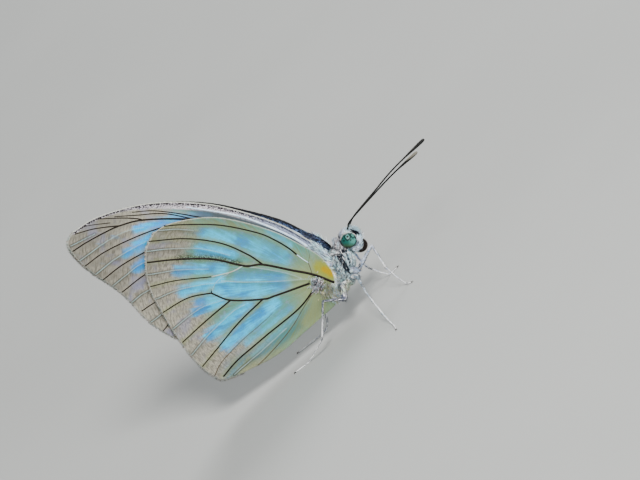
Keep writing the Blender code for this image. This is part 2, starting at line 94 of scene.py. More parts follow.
# Hair on the trunk: roots for each square millimetre, and where it turns to head hair along X, to abdomen
# scales along X, and ends above the floor.
HAIR_ROOTS = 260.0
HEAD_START = 1.95
ABDOMEN_START = -4.2
HAIR_FLOOR = 3.55
# Tufts on each leg, palp and eye ring, and on each point of a face lock's line.
LEG_TUFTS = 2600
PALP_TUFTS = 1800
EYE_RING_TUFTS = 2000
LOCK_TUFTS = 22

EYE_CENTRE = Vector((3.07, 0.74, 9.27))
EYE_HALF = Vector((1.1, 1.03, 1.1))
EYE_RING_RADIUS = 1.06
EYE_RING_OUT = 0.62
EYE_RING_GIRTH = 0.14

# Wings: how far their middles lie from the plane of symmetry, and how that grows beside the trunk.
FOREWING_OFFSET = 0.70
HINDWING_OFFSET = 1.38
ABDOMEN_SWELL, ABDOMEN_REACH = 0.5, 3.0
THORAX_SWELL, THORAX_REACH = 1.4, 3.4
TAIL_END = Vector((-16.0, 0.0, 5.0))
SHEET_STEP = 0.15
SHEET_THICKNESS = 0.10
VEIN_GROWTH = 1.25
CREASE_RADII = (0.025, 0.04)
CREASE_LIFT = 0.015
# The scale rows' own map: millimetres out from the root, and this many across for each radian round it.
ROW_BEND = 18.0
FOREWING_ROOT = np.array((-0.9, 8.9))
HINDWING_ROOT = np.array((-3.8, 7.9))
LEFT_FOREWING_SHIFT = np.array((0.45, 0.42))
LEFT_FOREWING_TURN = 1.4
LEFT_FOREWING_TUCK = np.array((-0.23, -0.4))
TIP_CLOSING = 0.28

FOREWING_FRONT = (
    (-0.1, 9.0), (-0.25, 10.9), (-1.1, 13.4), (-2.35, 17.3), (-4.8, 21.95), (-7.8, 26.35), (-11.9, 30.45),
    (-16.0, 33.25), (-20.8, 35.3), (-24.2, 35.75),
)
FOREWING_MARGIN = (
    (-24.2, 35.75), (-25.9, 34.9), (-26.4, 32.8), (-26.2, 29.6), (-25.2, 24.3), (-25.15, 18.6),
    (-24.1, 14.4), (-23.0, 13.2),
)
FOREWING_BACK = (
    (-23.0, 13.2), (-16.7, 11.3), (-7.7, 9.1), (-1.9, 8.2), (-0.1, 9.0),
)
HINDWING_FRONT = (
    (-1.1, 8.3), (-1.2, 10.6), (-2.1, 13.4), (-3.65, 17.5), (-6.4, 22.2), (-9.2, 25.4), (-13.4, 28.0),
    (-15.9, 28.5),
)
HINDWING_MARGIN = (
    (-15.9, 28.5), (-18.6, 27.05), (-21.4, 23.2), (-22.7, 19.0), (-23.75, 13.5), (-24.05, 9.3),
    (-23.6, 6.4), (-22.9, 5.3), (-20.2, 4.3),
)
HINDWING_BACK = (
    (-20.2, 4.3), (-14.6, 3.25), (-9.9, 3.3), (-5.1, 3.5), (-3.9, 3.9), (-2.9, 5.4), (-1.7, 7.0),
    (-1.1, 8.3),
)

# Veins: the radius at the root and at the end, the tone, and points from the root to the margin.
FOREWING_VEINS = {
    "subcosta": (0.19, 0.09, "white", ((-1.1, 8.7), (-1.7, 12.0), (-2.4, 14.8), (-4.1, 18.9), (-6.3, 22.9),
        (-10.4, 28.1))),
    "radius": (0.15, 0.09, "dark", ((-1.2, 9.2), (-2.7, 13.1), (-4.6, 17.5), (-6.8, 20.5), (-9.3, 23.9),
        (-11.9, 27.1), (-16.0, 30.6), (-18.9, 32.1), (-21.3, 32.8), (-24.0, 33.35), (-26.2, 33.6))),
    "first radial": (0.09, 0.07, "dark", ((-6.8, 20.5), (-9.6, 25.2), (-13.6, 30.2), (-16.4, 32.5))),
    "second radial": (0.09, 0.07, "dark", ((-9.6, 24.3), (-13.0, 29.1), (-16.3, 31.8), (-18.6, 33.6))),
    "third radial": (0.09, 0.07, "dark", ((-16.0, 30.6), (-16.5, 31.3), (-18.0, 32.8), (-20.4, 34.8))),
    "fourth radial": (0.09, 0.07, "dark", ((-18.9, 32.1), (-20.7, 33.4), (-22.3, 34.4), (-24.3, 35.3))),
    "fifth radial": (0.07, 0.06, "dark", ((-19.6, 33.3), (-21.9, 34.9), (-23.2, 35.5))),
    "first medial": (0.1, 0.08, "dark", ((-9.3, 23.9), (-12.2, 26.6), (-15.4, 28.3), (-19.1, 29.6),
        (-23.1, 30.6), (-26.3, 30.8))),
    "second medial": (0.1, 0.08, "dark", ((-13.0, 24.3), (-15.9, 25.9), (-18.7, 26.8), (-22.5, 27.5),
        (-25.8, 27.6))),
    "cell end": (0.09, 0.07, "dark", ((-9.3, 23.9), (-11.2, 23.6), (-13.0, 24.3))),
    "cubitus": (0.15, 0.11, "dark", ((-1.6, 9.2), (-5.1, 12.4), (-9.15, 15.7), (-11.8, 17.4), (-13.3, 20.6),
        (-13.0, 24.3))),
    "first cubital": (0.1, 0.08, "dark", ((-13.3, 20.6), (-17.3, 23.3), (-21.0, 24.3), (-25.1, 24.45))),
    "second cubital": (0.1, 0.08, "dark", ((-11.8, 17.4), (-17.3, 19.4), (-22.9, 20.3), (-24.9, 20.5))),
    "anal": (0.1, 0.08, "dark", ((-1.9, 9.0), (-6.4, 10.7), (-14.0, 14.2), (-21.3, 16.6), (-24.6, 16.3))),
}
HINDWING_VEINS = {
    "subcosta root": (0.06, 0.06, "brown", ((-3.7, 9.3), (-3.55, 9.6), (-3.3, 10.2), (-3.05, 10.9))),
    "subcosta bend": (0.07, 0.06, "white", ((-3.05, 10.9), (-3.3, 11.8), (-3.5, 12.8))),
    "subcosta": (0.11, 0.09, "dark", ((-3.5, 12.8), (-3.75, 14.4), (-4.4, 16.6), (-5.5, 19.0), (-8.5, 23.2),
        (-12.1, 26.6), (-14.3, 28.3))),
    "humeral": (0.05, 0.05, "brown", ((-3.05, 10.9), (-2.3, 11.5), (-1.8, 12.4))),
    "radial sector": (0.11, 0.08, "dark", ((-7.9, 14.8), (-8.5, 17.4), (-10.2, 21.2), (-13.4, 25.0),
        (-17.3, 28.0))),
    "cell front": (0.16, 0.11, "dark", ((-2.0, 6.8), (-2.9, 8.3), (-3.9, 9.6), (-5.5, 11.5), (-7.9, 14.8),
        (-9.9, 16.4), (-12.6, 20.2), (-16.3, 23.5), (-19.5, 25.8))),
    "second medial root": (0.08, 0.07, "pale", ((-10.0, 16.5), (-11.8, 16.9), (-14.3, 18.2))),
    "second medial": (0.08, 0.08, "dark", ((-14.3, 18.2), (-18.3, 21.1), (-21.5, 22.8))),
    "cubitus": (0.14, 0.11, "dark", ((-4.8, 8.5), (-7.3, 9.3), (-9.7, 10.2), (-11.2, 10.9), (-14.6, 13.8),
        (-15.9, 16.4))),
    "cell spur": (0.09, 0.04, "dark", ((-15.9, 16.3), (-15.5, 16.9))),
    "cell end": (0.05, 0.05, "pale", ((-12.2, 17.0), (-14.2, 17.2), (-15.6, 16.6))),
    "third medial": (0.1, 0.08, "dark", ((-15.9, 16.4), (-18.0, 17.7), (-19.8, 18.3), (-22.7, 18.7))),
    "first cubital": (0.11, 0.08, "dark", ((-14.6, 13.8), (-19.1, 13.75), (-23.6, 13.5))),
    "second cubital": (0.11, 0.08, "dark", ((-11.2, 10.9), (-15.9, 10.5), (-20.9, 9.5), (-23.9, 8.9))),
    "first anal": (0.055, 0.07, "brown", ((-11.4, 8.5), (-13.6, 8.3), (-17.3, 8.2), (-21.5, 7.6),
        (-23.5, 6.7))),
    "second anal": (0.11, 0.1, "dark", ((-4.6, 7.6), (-8.3, 6.65), (-14.4, 6.6), (-19.4, 6.4),
        (-22.7, 5.8))),
    "third anal": (0.06, 0.07, "brown", ((-5.0, 7.3), (-7.85, 6.3), (-10.8, 5.2), (-14.0, 4.5),
        (-18.0, 3.95))),
}
# Creases: folds of the sheet between the veins, each from the cell to the margin, drawn with a pale painted
# highlight along each.
FOREWING_CREASES = (
    ((-16.6, 29.7), (-19.0, 31.0), (-22.3, 31.65), (-26.35, 31.9)),
    ((-22.2, 33.5), (-24.2, 34.0), (-25.9, 34.4)),
    ((-14.6, 26.6), (-17.6, 27.9), (-22.2, 28.8), (-26.1, 28.9)),
    ((-15.4, 22.9), (-19.8, 25.7), (-23.2, 26.0), (-25.5, 26.0)),
    ((-15.0, 19.8), (-22.1, 22.2), (-25.2, 22.4)),
    ((-13.0, 15.4), (-20.0, 18.0), (-25.0, 18.4)),
    ((-5.0, 14.4), (-9.0, 18.6), (-11.6, 23.0)),
)
HINDWING_CREASES = (
    ((-11.7, 25.1), (-13.4, 26.9), (-15.4, 28.4)),
    ((-10.4, 18.9), (-11.8, 21.2), (-13.4, 23.1), (-16.2, 25.5), (-18.5, 27.1)),
    ((-13.9, 19.4), (-15.6, 20.9), (-17.3, 22.3), (-18.9, 23.3), (-20.8, 24.5)),
    ((-13.4, 16.4), (-14.3, 17.0), (-16.3, 18.4), (-19.3, 20.0), (-22.2, 20.9)),
    ((-15.4, 14.5), (-17.9, 15.6), (-20.5, 15.9), (-23.2, 15.9)),
    ((-13.6, 12.0), (-15.2, 12.3), (-17.6, 12.2), (-20.6, 11.9), (-24.0, 11.2)),
    ((-4.4, 9.0), (-7.4, 11.1), (-10.7, 13.9), (-12.2, 15.3), (-13.7, 16.9)),
    ((-5.2, 9.7), (-6.4, 11.8), (-8.4, 14.5), (-9.8, 16.2)),
    ((-11.5, 5.6), (-15.0, 5.4), (-18.5, 5.2), (-21.4, 5.0)),
)
# Blue streaks between the veins: two ends, half width and strength.
FOREWING_BLUES = (
    ((-12.9, 28.2), (-9.1, 25.0), 0.6, 1.1), ((-17.4, 30.1), (-12.4, 27.6), 0.62, 1.0),
    ((-20.9, 28.4), (-15.0, 28.0), 0.62, 0.9), ((-19.0, 28.1), (-14.0, 26.9), 0.95, 1.0),
    ((-21.2, 25.7), (-17.0, 25.4), 0.75, 1.0), ((-22.6, 32.1), (-20.4, 31.4), 0.5, 0.3),
    ((-19.0, 21.8), (-14.0, 19.6), 1.3, 0.9), ((-18.0, 17.4), (-10.0, 14.4), 1.5, 0.8),
    ((-11.0, 21.4), (-5.0, 14.4), 2.2, 0.8),
)
HINDWING_BLUES = (
    ((-10.8, 23.9), (-8.0, 19.6), 0.9, 0.7), ((-8.0, 19.6), (-5.2, 13.6), 1.2, 0.65),
    ((-4.3, 18.0), (-3.3, 14.5), 0.6, 0.5), ((-12.9, 22.4), (-9.9, 18.8), 0.8, 0.8),
    ((-17.3, 22.0), (-12.4, 18.2), 0.8, 0.8), ((-18.7, 19.1), (-13.9, 16.9), 0.75, 0.95),
    ((-11.7, 15.5), (-7.2, 11.6), 0.9, 0.7), ((-14.6, 15.9), (-11.4, 12.6), 1.2, 1.0),
    ((-11.4, 12.6), (-7.7, 10.4), 1.0, 0.75), ((-19.3, 15.6), (-15.6, 14.6), 0.6, 1.0),
    ((-18.0, 16.5), (-15.9, 15.5), 0.7, 0.8), ((-20.1, 11.7), (-13.2, 11.5), 0.75, 0.95),
    ((-19.4, 9.2), (-10.4, 9.3), 0.8, 1.05), ((-17.0, 7.5), (-9.2, 7.5), 0.55, 0.5),
    ((-17.3, 5.5), (-9.4, 6.1), 0.6, 0.45),
)

# Legs: the joints from hip to toe. The last two are raised by the foot's own radius.
FOOT_RADIUS = 0.11
LEG_JOINTS = {
    "leg_fore_right": ((0.4, -0.9, 5.9), (1.15, -1.5, 5.25), (5.2, -2.5, 7.2), (4.7, -3.5, 3.7),
        (5.05, -3.95, 1.6), (5.4, -4.0, 0.0), (6.1, -4.5, 0.0)),
    "leg_mid_right": ((-0.4, -0.8, 5.4), (0.7, -1.9, 4.8), (0.8, -6.2, 3.8), (1.25, -10.6, 1.5),
        (1.45, -11.8, 0.85), (1.7, -12.9, 0.0), (1.85, -14.6, 0.0)),
    "leg_hind_right": ((-1.7, -0.8, 5.2), (-2.5, -3.1, 3.8), (-4.8, -4.0, 6.0), (-8.4, -4.5, 2.0),
        (-10.3, -3.9, 1.0), (-12.2, -3.3, 0.0), (-14.6, -3.0, 0.0)),
    "leg_fore_left": ((0.4, 0.9, 5.9), (0.9, 1.8, 5.4), (1.75, 3.1, 6.5), (1.7, 3.0, 3.3), (2.5, 3.0, 1.4),
        (3.3, 3.1, 0.0), (4.7, 3.45, 0.0)),
    "leg_mid_left": ((-0.4, 0.8, 5.4), (-0.5, 1.9, 4.4), (-1.5, 5.0, 4.6), (-3.2, 7.0, 1.6),
        (-3.7, 7.6, 0.8), (-4.3, 8.2, 0.0), (-5.6, 9.0, 0.0)),
    "leg_hind_left": ((-1.7, 0.8, 5.2), (-2.6, 3.0, 3.6), (-5.0, 3.8, 5.4), (-6.6, 2.4, 2.2),
        (-7.6, 2.0, 0.75), (-8.5, 1.85, 0.0), (-13.4, 2.3, 0.0)),
}
LEG_STEP = 0.12
LEG_ROUNDING = 5
# A leg's radii at stages along its joints, from the hip at 0 to the toe at 6, and what thins each thigh.
LEG_STAGES = (0.0, 0.7, 1.0, 1.12, 1.5, 1.92, 2.0, 2.08, 2.5, 2.93, 3.0, 3.1, 6.0)
LEG_RADII = (0.50, 0.40, 0.25, 0.22, 0.25, 0.19, 0.16, 0.11, 0.11, 0.14, 0.12, 0.10, 0.08)
THIGH_GIRTH = {"leg_fore": 0.95, "leg_mid": 0.52, "leg_hind": 0.62}
ANKLE_STAGE = 2.95
FOOT_RINGS = 5
# Claws and spurs: places ahead, aside and up from the toe or the ankle, and the radius at each.
CLAW = (
    (0.02, 0.0, 0.0, 0.05), (0.16, 0.09, 0.03, 0.035), (0.27, 0.13, -0.02, 0.022),
    (0.31, 0.12, -0.08, 0.008),
)
SPUR = ((0.0, 0.1, 0.0, 0.035), (0.22, 0.18, 0.0, 0.025), (0.42, 0.21, 0.0, 0.006))

FEELERS = {
    "antenna_right": ((3.6, -0.36, 10.2), (4.18, -0.5, 10.75), (5.23, -0.75, 11.37), (10.12, -2.4, 12.73),
        (14.45, -3.6, 13.71), (19.0, -5.0, 14.45)),
    "antenna_left": ((3.75, 0.3, 10.1), (4.6, 0.55, 10.6), (5.95, 0.8, 11.05), (9.7, 1.5, 11.55),
        (14.0, 2.2, 12.11), (19.7, 3.0, 12.3)),
}
FEELER_RADIUS = 0.115
CLUB_RADIUS = 0.24
FEELER_RINGS = 38
# The heights between which the higher club turns pale.
PALE_TIP = (14.2, 14.45)
PALP_PATH = ((2.6, 0.75, 8.15), (3.0, 0.85, 7.7), (3.65, 0.86, 7.85), (4.3, 0.7, 8.6))
PALP_RADII = (0.22, 0.26, 0.26, 0.1)
COIL_CENTRE = Vector((3.55, 0.0, 7.35))
COIL_RADIUS = 1.08
COIL_TURNS = 2.6
# The share of its radius that the coil loses in each turn, where it starts in degrees, and its root's line.
COIL_TIGHTENING = 0.27
COIL_START = 150.0
COIL_ROOT = ((2.9, 0.0, 8.0), (2.9, 0.0, 7.7))

# The eye's marks on its own map, from -1 to 1 each way: ringed diamonds with their half sizes, and spots.
EYE_RINGS = (((-0.18, 0.4), (0.52, 0.6)), ((0.5, 0.62), (0.42, 0.48)), ((0.1, 0.98), (0.3, 0.3)))
EYE_SPOTS = (
    ((-0.18, 0.4), 0.2), ((-0.8, 0.62), 0.2), ((-0.88, 0.25), 0.18), ((-0.62, -0.1), 0.15),
    ((0.82, 0.3), 0.18), ((-0.5, 0.82), 0.14), ((0.2, -0.02), 0.13),
)

FLOOR_HALF = 6.0
# Lights: name, place and size in metres, power in watts and colour.
LIGHTS = (
    ("key light", (0.2, -0.42, 0.52), 0.22, 6.8, (1.0, 0.98, 0.95)),
    ("fill light", (0.35, -0.6, 0.1), 0.5, 4.0, (0.92, 0.97, 1.0)),
    ("back light", (0.25, 0.45, 0.45), 0.4, 4.0, (1.0, 1.0, 1.0)),
)
WORLD_COLOUR = (0.93, 0.96, 1.0, 1.0)
WORLD_STRENGTH = 0.26


def tint(red, green, blue):
    """A colour in linear light from its screen values of 0 to 255."""
    parts = []
    for value in (red, green, blue):
        value /= 255.0
        parts.append(value / 12.92 if value <= 0.04045 else ((value + 0.055) / 1.055) ** 2.4)
    return (*parts, 1.0)


# Colours of the scales and hair.
BLUE_WHITE = tint(208, 238, 255)
PINK_WHITE = tint(208, 202, 208)
CREAM_GREY = tint(196, 196, 150)
DARK_GREY = tint(40, 42, 52)
VIOLET_DARK = tint(44, 36, 54)
NIGHT_BLUE = tint(14, 15, 34)
VEIN_BROWN = tint(18, 13, 10)
# The pale-toned veins' colour, also used as the painted highlight on the creases.
PALE_VEIN_AND_CREASE_HIGHLIGHT = tint(172, 204, 204)
LIGHT_BROWN = tint(104, 88, 66)
TEAL_GROUND = tint(78, 150, 142)
SAGE_GROUND = tint(100, 122, 96)
DEEP_TEAL = tint(62, 116, 126)
SKY = tint(0, 132, 202)
CYAN = tint(0, 202, 252)
BRIGHT_SKY = tint(0, 160, 255)
TAUPE = tint(130, 126, 114)
DARK_TAUPE = tint(68, 65, 58)
CREAM_TAUPE = tint(164, 159, 144)
LILAC = tint(136, 140, 182)
YELLOW = tint(166, 138, 0)
SOFT_YELLOW = tint(138, 142, 50)
OLIVE_CREAM = tint(138, 146, 98)
EDGE_WHITE = tint(188, 190, 180)
BAND_WHITE = tint(168, 182, 208)
BAND_GREY = tint(92, 94, 118)
# Painted shadow: the grey that the hindwing's front edge casts on the forewing's front band.
HINDWING_SHADOW_GREY = tint(84, 90, 98)
EYE_DEEP = tint(20, 82, 74)
EYE_GREEN = tint(76, 144, 134)
EYE_OLIVE = tint(62, 88, 56)
EYE_PALE = tint(72, 128, 120)
EYE_DUST = tint(190, 214, 210)
EYE_DARK = tint(2, 30, 30)
EYE_BLACK = tint(2, 16, 18)
UPPER_BLUE = tint(10, 160, 232)
BLACK_SCALES = tint(14, 13, 18)
DUST_BLUE = tint(92, 112, 150)
LEG_TONES = {"fore": tint(172, 186, 212), "mid": tint(150, 168, 182), "hind": tint(112, 118, 142)}
# Hair at the wings' roots: wing, line it stands along, spread, tufts, flow, length, width, colours, its row
# on the unwrap, lift, and -1 for the inner face.
ROOT_HAIR = (
    ("forewing", ((-0.3, 9.1), (-0.5, 10.4), (-1.0, 11.6)), 0.35, 900, (-0.4, 0.1, 0.9), 0.75, 0.045,
     (BLUE_WHITE, BLUE_WHITE, BAND_GREY), 0.72, 0.5, 1.0),
    ("hindwing", ((-1.2, 8.9), (-1.75, 7.0), (-3.0, 5.4), (-3.9, 4.2)), 0.25, 1300, (0.3, -0.2, -0.9), 0.5,
     0.035, (CREAM_GREY, BLUE_WHITE, BLUE_WHITE, PINK_WHITE), 0.74, 0.3, 1.0),
    ("hindwing", ((-3.6, 8.3), (-4.2, 7.7)), 0.38, 500, (-0.8, 0.2, -0.3), 0.45, 0.05,
     (PINK_WHITE, BLUE_WHITE, PINK_WHITE, DARK_GREY), 0.76, 0.8, 1.0),
    ("hindwing", ((-4.0, 6.2), (-2.7, 7.2)), 0.45, 500, (-0.3, 0.2, -0.8), 0.4, 0.035,
     (CREAM_GREY, EDGE_WHITE, EDGE_WHITE), 0.78, 0.2, 1.0),
    ("forewing", ((-0.3, 9.1), (-0.5, 10.6), (-1.2, 12.6)), 0.4, 900, (-0.4, 0.1, 0.9), 0.7, 0.045,
     (BAND_GREY, DUST_BLUE, NIGHT_BLUE, DARK_GREY), 0.7, 0.5, -1.0),
)


def smooth_line(points, step):
    """Points about one step apart along a smooth curve through the given points."""
    points = np.array(points, float)
    pieces = []
    for index in range(len(points) - 1):
        b, c = points[index:index + 2]
        a = points[index - 1] if index > 0 else 2.0 * b - c
        d = points[index + 2] if index + 2 < len(points) else 2.0 * c - b
        parts = max(1, round(float(np.linalg.norm(c - b)) / step))
        t = (np.arange(parts) / parts)[:, None]
        pieces.append(0.5 * (2.0 * b + (c - a) * t + (2.0 * a - 5.0 * b + 4.0 * c - d) * t ** 2
                             + (3.0 * b - a - 3.0 * c + d) * t ** 3))
    return np.concatenate(pieces + [points[-1:]])


def nearest_on(spots, line):
    """The nearest places on a line to the spots, and how far off they are."""
    best = np.full(len(spots), np.inf)
    place = np.zeros_like(spots)
    for a, b in zip(line[:-1], line[1:]):
        run = b - a
        t = np.clip(((spots - a) @ run) / max(float(run @ run), 1e-12), 0.0, 1.0)
        near = a + t[:, None] * run
        gap = np.linalg.norm(spots - near, axis=1)
        closer = gap < best
        best = np.where(closer, gap, best)
        place[closer] = near[closer]
    return place, best


def how_far(spots, line):
    """How far each spot is from a line."""
    return nearest_on(spots, np.asarray(line))[1]


def gap_to(spots, lines):
    """How far each spot is from the nearest of the lines, up to 99 mm."""
    best = np.full(len(spots), 99.0)
    for line in lines:
        best = np.minimum(best, how_far(spots, line))
    return best


def lengths_to(line):
    """How far along a line each of its points lies."""
    return np.concatenate([[0.0], np.cumsum(np.linalg.norm(np.diff(line, axis=0), axis=1))])


def places_on(line, lengths, at):
    """The places on a line that lie so far along it."""
    return np.stack([np.interp(at, lengths, column) for column in line.T], axis=1)


def inside(spots, loop):
    """Which spots lie within a closed outline."""
    hits = np.zeros(len(spots), bool)
    for a, b in zip(loop, np.roll(loop, -1, axis=0)):
        if a[1] != b[1]:
            crosses = (a[1] > spots[:, 1]) != (b[1] > spots[:, 1])
            hits ^= crosses & (spots[:, 0] < a[0] + (spots[:, 1] - a[1]) * (b[0] - a[0]) / (b[1] - a[1]))
    return hits


def ease(value, low, high):
    """0 at low and 1 at high with soft ends. Low may lie above high."""
    t = np.clip((value - low) / (high - low), 0.0, 1.0)
    return t * t * (3.0 - 2.0 * t)


def unit(vectors):
    return vectors / np.maximum(np.linalg.norm(vectors, axis=-1, keepdims=True), 1e-9)


def mirrored(points, side):
    """Places given for the left side, on the side asked for."""
    return np.array(points, float) * (1.0, side, 1.0)


def rgb(colour):
    return np.array(colour[:3])


def put_in_scene(name, data):
    thing = bpy.data.objects.new(name, data)
    bpy.context.scene.collection.objects.link(thing)
    return thing


def add_piece(name, mesh, materials, nodes=()):
    """Moves a mesh in millimetres to its place in metres, gives it its finish and hangs it on the body."""
    mesh.transform(Matrix.Scale(MM, 4) @ Matrix.Translation(DATUM))
    for material in materials:
        mesh.materials.append(material)
    mesh.shade_smooth()
    piece = put_in_scene(name, mesh)
    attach(piece, BODY)
    if nodes:
        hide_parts(*nodes)
    return piece


def mesh_of(name, bm):
    mesh = bpy.data.meshes.new(name)
    bm.to_mesh(mesh)
    bm.free()
    return mesh


class Paint:
    """One procedural material. Its patterns are in millimetres of the object's own space."""

    def __init__(self, name, roughness, specular):
        self.material = bpy.data.materials.new(name)
        self.material.use_nodes = True
        self.tree = self.material.node_tree
        self.shader = self.tree.nodes["Principled BSDF"]
        self.shader.inputs["Roughness"].default_value = roughness
        self.shader.inputs["Specular IOR Level"].default_value = specular

    def put(self, socket, value):
        if isinstance(value, bpy.types.NodeSocket):
            self.tree.links.new(value, socket)
        else:
            socket.default_value = value

    def node(self, kind, settings=None, **inputs):
        node = self.tree.nodes.new(kind)
        for key, value in (settings or {}).items():
            setattr(node, key, value)
        for key, value in inputs.items():
            self.put(node.inputs[key.replace("_", " ")], value)
        return node

    def calc(self, operation, *values):
        node = self.node("ShaderNodeMath", {"operation": operation})
        for socket, value in zip(node.inputs, values):
            self.put(socket, value)
        return node.outputs[0]

    def ease(self, value, low, high):
        """0 below low and 1 above high. With low above high it falls instead of rising."""
        node = self.node("ShaderNodeMapRange", {"interpolation_type": "SMOOTHSTEP"}, Value=value)
        node.inputs["From Min"].default_value = min(low, high)
        node.inputs["From Max"].default_value = max(low, high)
        node.inputs["To Min"].default_value = 0.0 if low < high else 1.0
        node.inputs["To Max"].default_value = 1.0 if low < high else 0.0
        return node.outputs["Result"]

    def blend(self, amount, first, second):
        node = self.node("ShaderNodeMix", {"data_type": "RGBA"})
        for index, value in ((0, amount), (6, first), (7, second)):
            self.put(node.inputs[index], value)
        return node.outputs[2]

    def lay(self, colour, over, amount, share=1.0):
        """A colour with another laid over it by an amount, or by a share of that amount."""
        return self.blend(amount if share == 1.0 else self.times(amount, share), colour, over)

    def times(self, first, second):
        return self.calc("MULTIPLY", first, second)

    def plus(self, first, second):
        return self.calc("ADD", first, second)

    def ripple(self, noise, height):
        """A noise that swings both ways about nought, by that height in all."""
        return self.calc("MULTIPLY_ADD", noise, height, -0.5 * height)

    def field(self, name, output="Fac"):
        return self.node("ShaderNodeAttribute", {"attribute_name": name}).outputs[output]

    def place(self):
        spot = self.node("ShaderNodeTexCoord").outputs["Object"]
        return self.node("ShaderNodeMapping", Vector=spot, Scale=[1.0 / MM] * 3).outputs[0]

    def rows(self, along, across):
        """Places along and across the scale rows, from the piece's own map in millimetres."""
        spot = self.node("ShaderNodeUVMap", {"uv_map": "Rows"}).outputs[0]
        return self.node("ShaderNodeMapping", Vector=spot, Scale=(along, across, 1.0)).outputs[0]

    def noise(self, place, scale, detail=2.0, roughness=0.5):
        node = self.node("ShaderNodeTexNoise", Vector=place, Scale=scale, Detail=detail, Roughness=roughness)
        return node.outputs["Fac"]

    def finish(self, colour, height, strength, depth):
        bump = self.node("ShaderNodeBump", Height=height, Strength=strength, Distance=depth * MM)
        self.put(self.shader.inputs["Base Color"], colour)
        self.put(self.shader.inputs["Normal"], bump.outputs[0])
        return self.material


def under_scales(name, hind):
    """The dusted underside: blue streaks on pale teal, taupe margins and paler dust beside the veins."""
    paint = Paint(name, roughness=0.55, specular=0.1)
    place = paint.place()
    cloud = paint.noise(place, 0.4, 3.0)
    mottle = paint.noise(place, 1.3, 3.0, 0.6)
    speck = paint.noise(place, 9.0, 2.0, 0.6)
    bars = paint.noise(paint.rows(4.6, 1.5), 1.0, 2.0, 0.6)
    rays = paint.noise(paint.rows(0.25, 1.8), 1.0, 3.0, 0.65)
    rim = paint.field("rim")
    colour = paint.blend(paint.ease(rays, 0.35, 0.65), TEAL_GROUND, SAGE_GROUND)
    colour = paint.lay(colour, LILAC, paint.ease(mottle, 0.52, 0.74), 0.4)

    dust = paint.lay(CREAM_TAUPE, DARK_TAUPE, paint.ease(bars, 0.42, 0.62), 0.6)
    dust = paint.lay(dust, TAUPE, paint.ease(rays, 0.4, 0.65), 0.6)
    dust = paint.lay(dust, LILAC, paint.ease(cloud, 0.48, 0.66), 0.3 if hind else 0.6)
    inner_reach = 7.2 if hind else 16.0
    grey = paint.ease(paint.plus(rim, paint.ripple(cloud, 5.0)), inner_reach, inner_reach - 4.0)
    colour = paint.lay(colour, dust, grey)

    hue = paint.ease(paint.plus(paint.times(rays, 0.4), paint.times(cloud, 0.6)), 0.4, 0.6)
    streak = paint.blend(hue, SKY if hind else BRIGHT_SKY, CYAN)
    streak = paint.lay(streak, TEAL_GROUND, paint.ease(bars, 0.45, 0.65), 0.22)
    uneven = paint.plus(paint.ripple(mottle, 0.35), paint.ripple(rays, 1.2))
    here = paint.ease(paint.plus(paint.field("sky"), uneven), 0.12, 0.95)
    colour = paint.lay(colour, streak, here, 0.92 if hind else 1.0)

    beside = paint.ease(paint.plus(paint.field("vein"), paint.ripple(mottle, 0.5)), 0.7, 0.1)
    colour = paint.lay(colour, OLIVE_CREAM if hind else CREAM_TAUPE, beside, 0.42)
    shade = paint.blend(paint.ease(rays, 0.4, 0.6), DEEP_TEAL, SAGE_GROUND)
    colour = paint.lay(colour, shade, paint.field("shade"))
    colour = paint.lay(colour, OLIVE_CREAM, paint.field("olive"))
    gold = paint.plus(paint.field("yellow"), paint.ripple(mottle, 0.5))
    colour = paint.lay(colour, SOFT_YELLOW, paint.ease(gold, 0.0, 0.8))
    colour = paint.lay(colour, YELLOW, paint.ease(gold, 0.6, 1.1))
    colour = paint.lay(colour, DARK_TAUPE, paint.field("dusk"))
    fuzz = paint.times(paint.field("fuzz"), paint.ease(speck, 0.4, 0.55))
    colour = paint.lay(colour, VEIN_BROWN, fuzz, 0.85)

    # Painted shade and highlight along the creases: a dark line beside each crease near the margin, and a
    # pale line on the crease where its ridge catches the light.
    crease = paint.field("crease")
    crease_shade = paint.times(paint.ease(crease, 0.3, 0.14), paint.ease(rim, 7.0, 0.5))
    colour = paint.lay(colour, DARK_TAUPE, crease_shade, 0.75)
    colour = paint.lay(colour, PALE_VEIN_AND_CREASE_HIGHLIGHT, paint.ease(crease, 0.12, 0.04), 0.4)
    if not hind:
        colour = front_band(paint, colour)
    edge = paint.ease(paint.plus(paint.field("edge"), paint.ripple(speck, 0.1)), 0.13, 0.05)
    colour = paint.lay(colour, EDGE_WHITE, edge, 0.6)
    colour = paint.lay(colour, DARK_TAUPE, paint.ease(speck, 0.35, 0.75), 0.25)
    rows = paint.noise(paint.rows(9.0, 4.0), 1.0, 2.0)
    return paint.finish(colour, paint.plus(bars, rows), 0.3, 0.03)


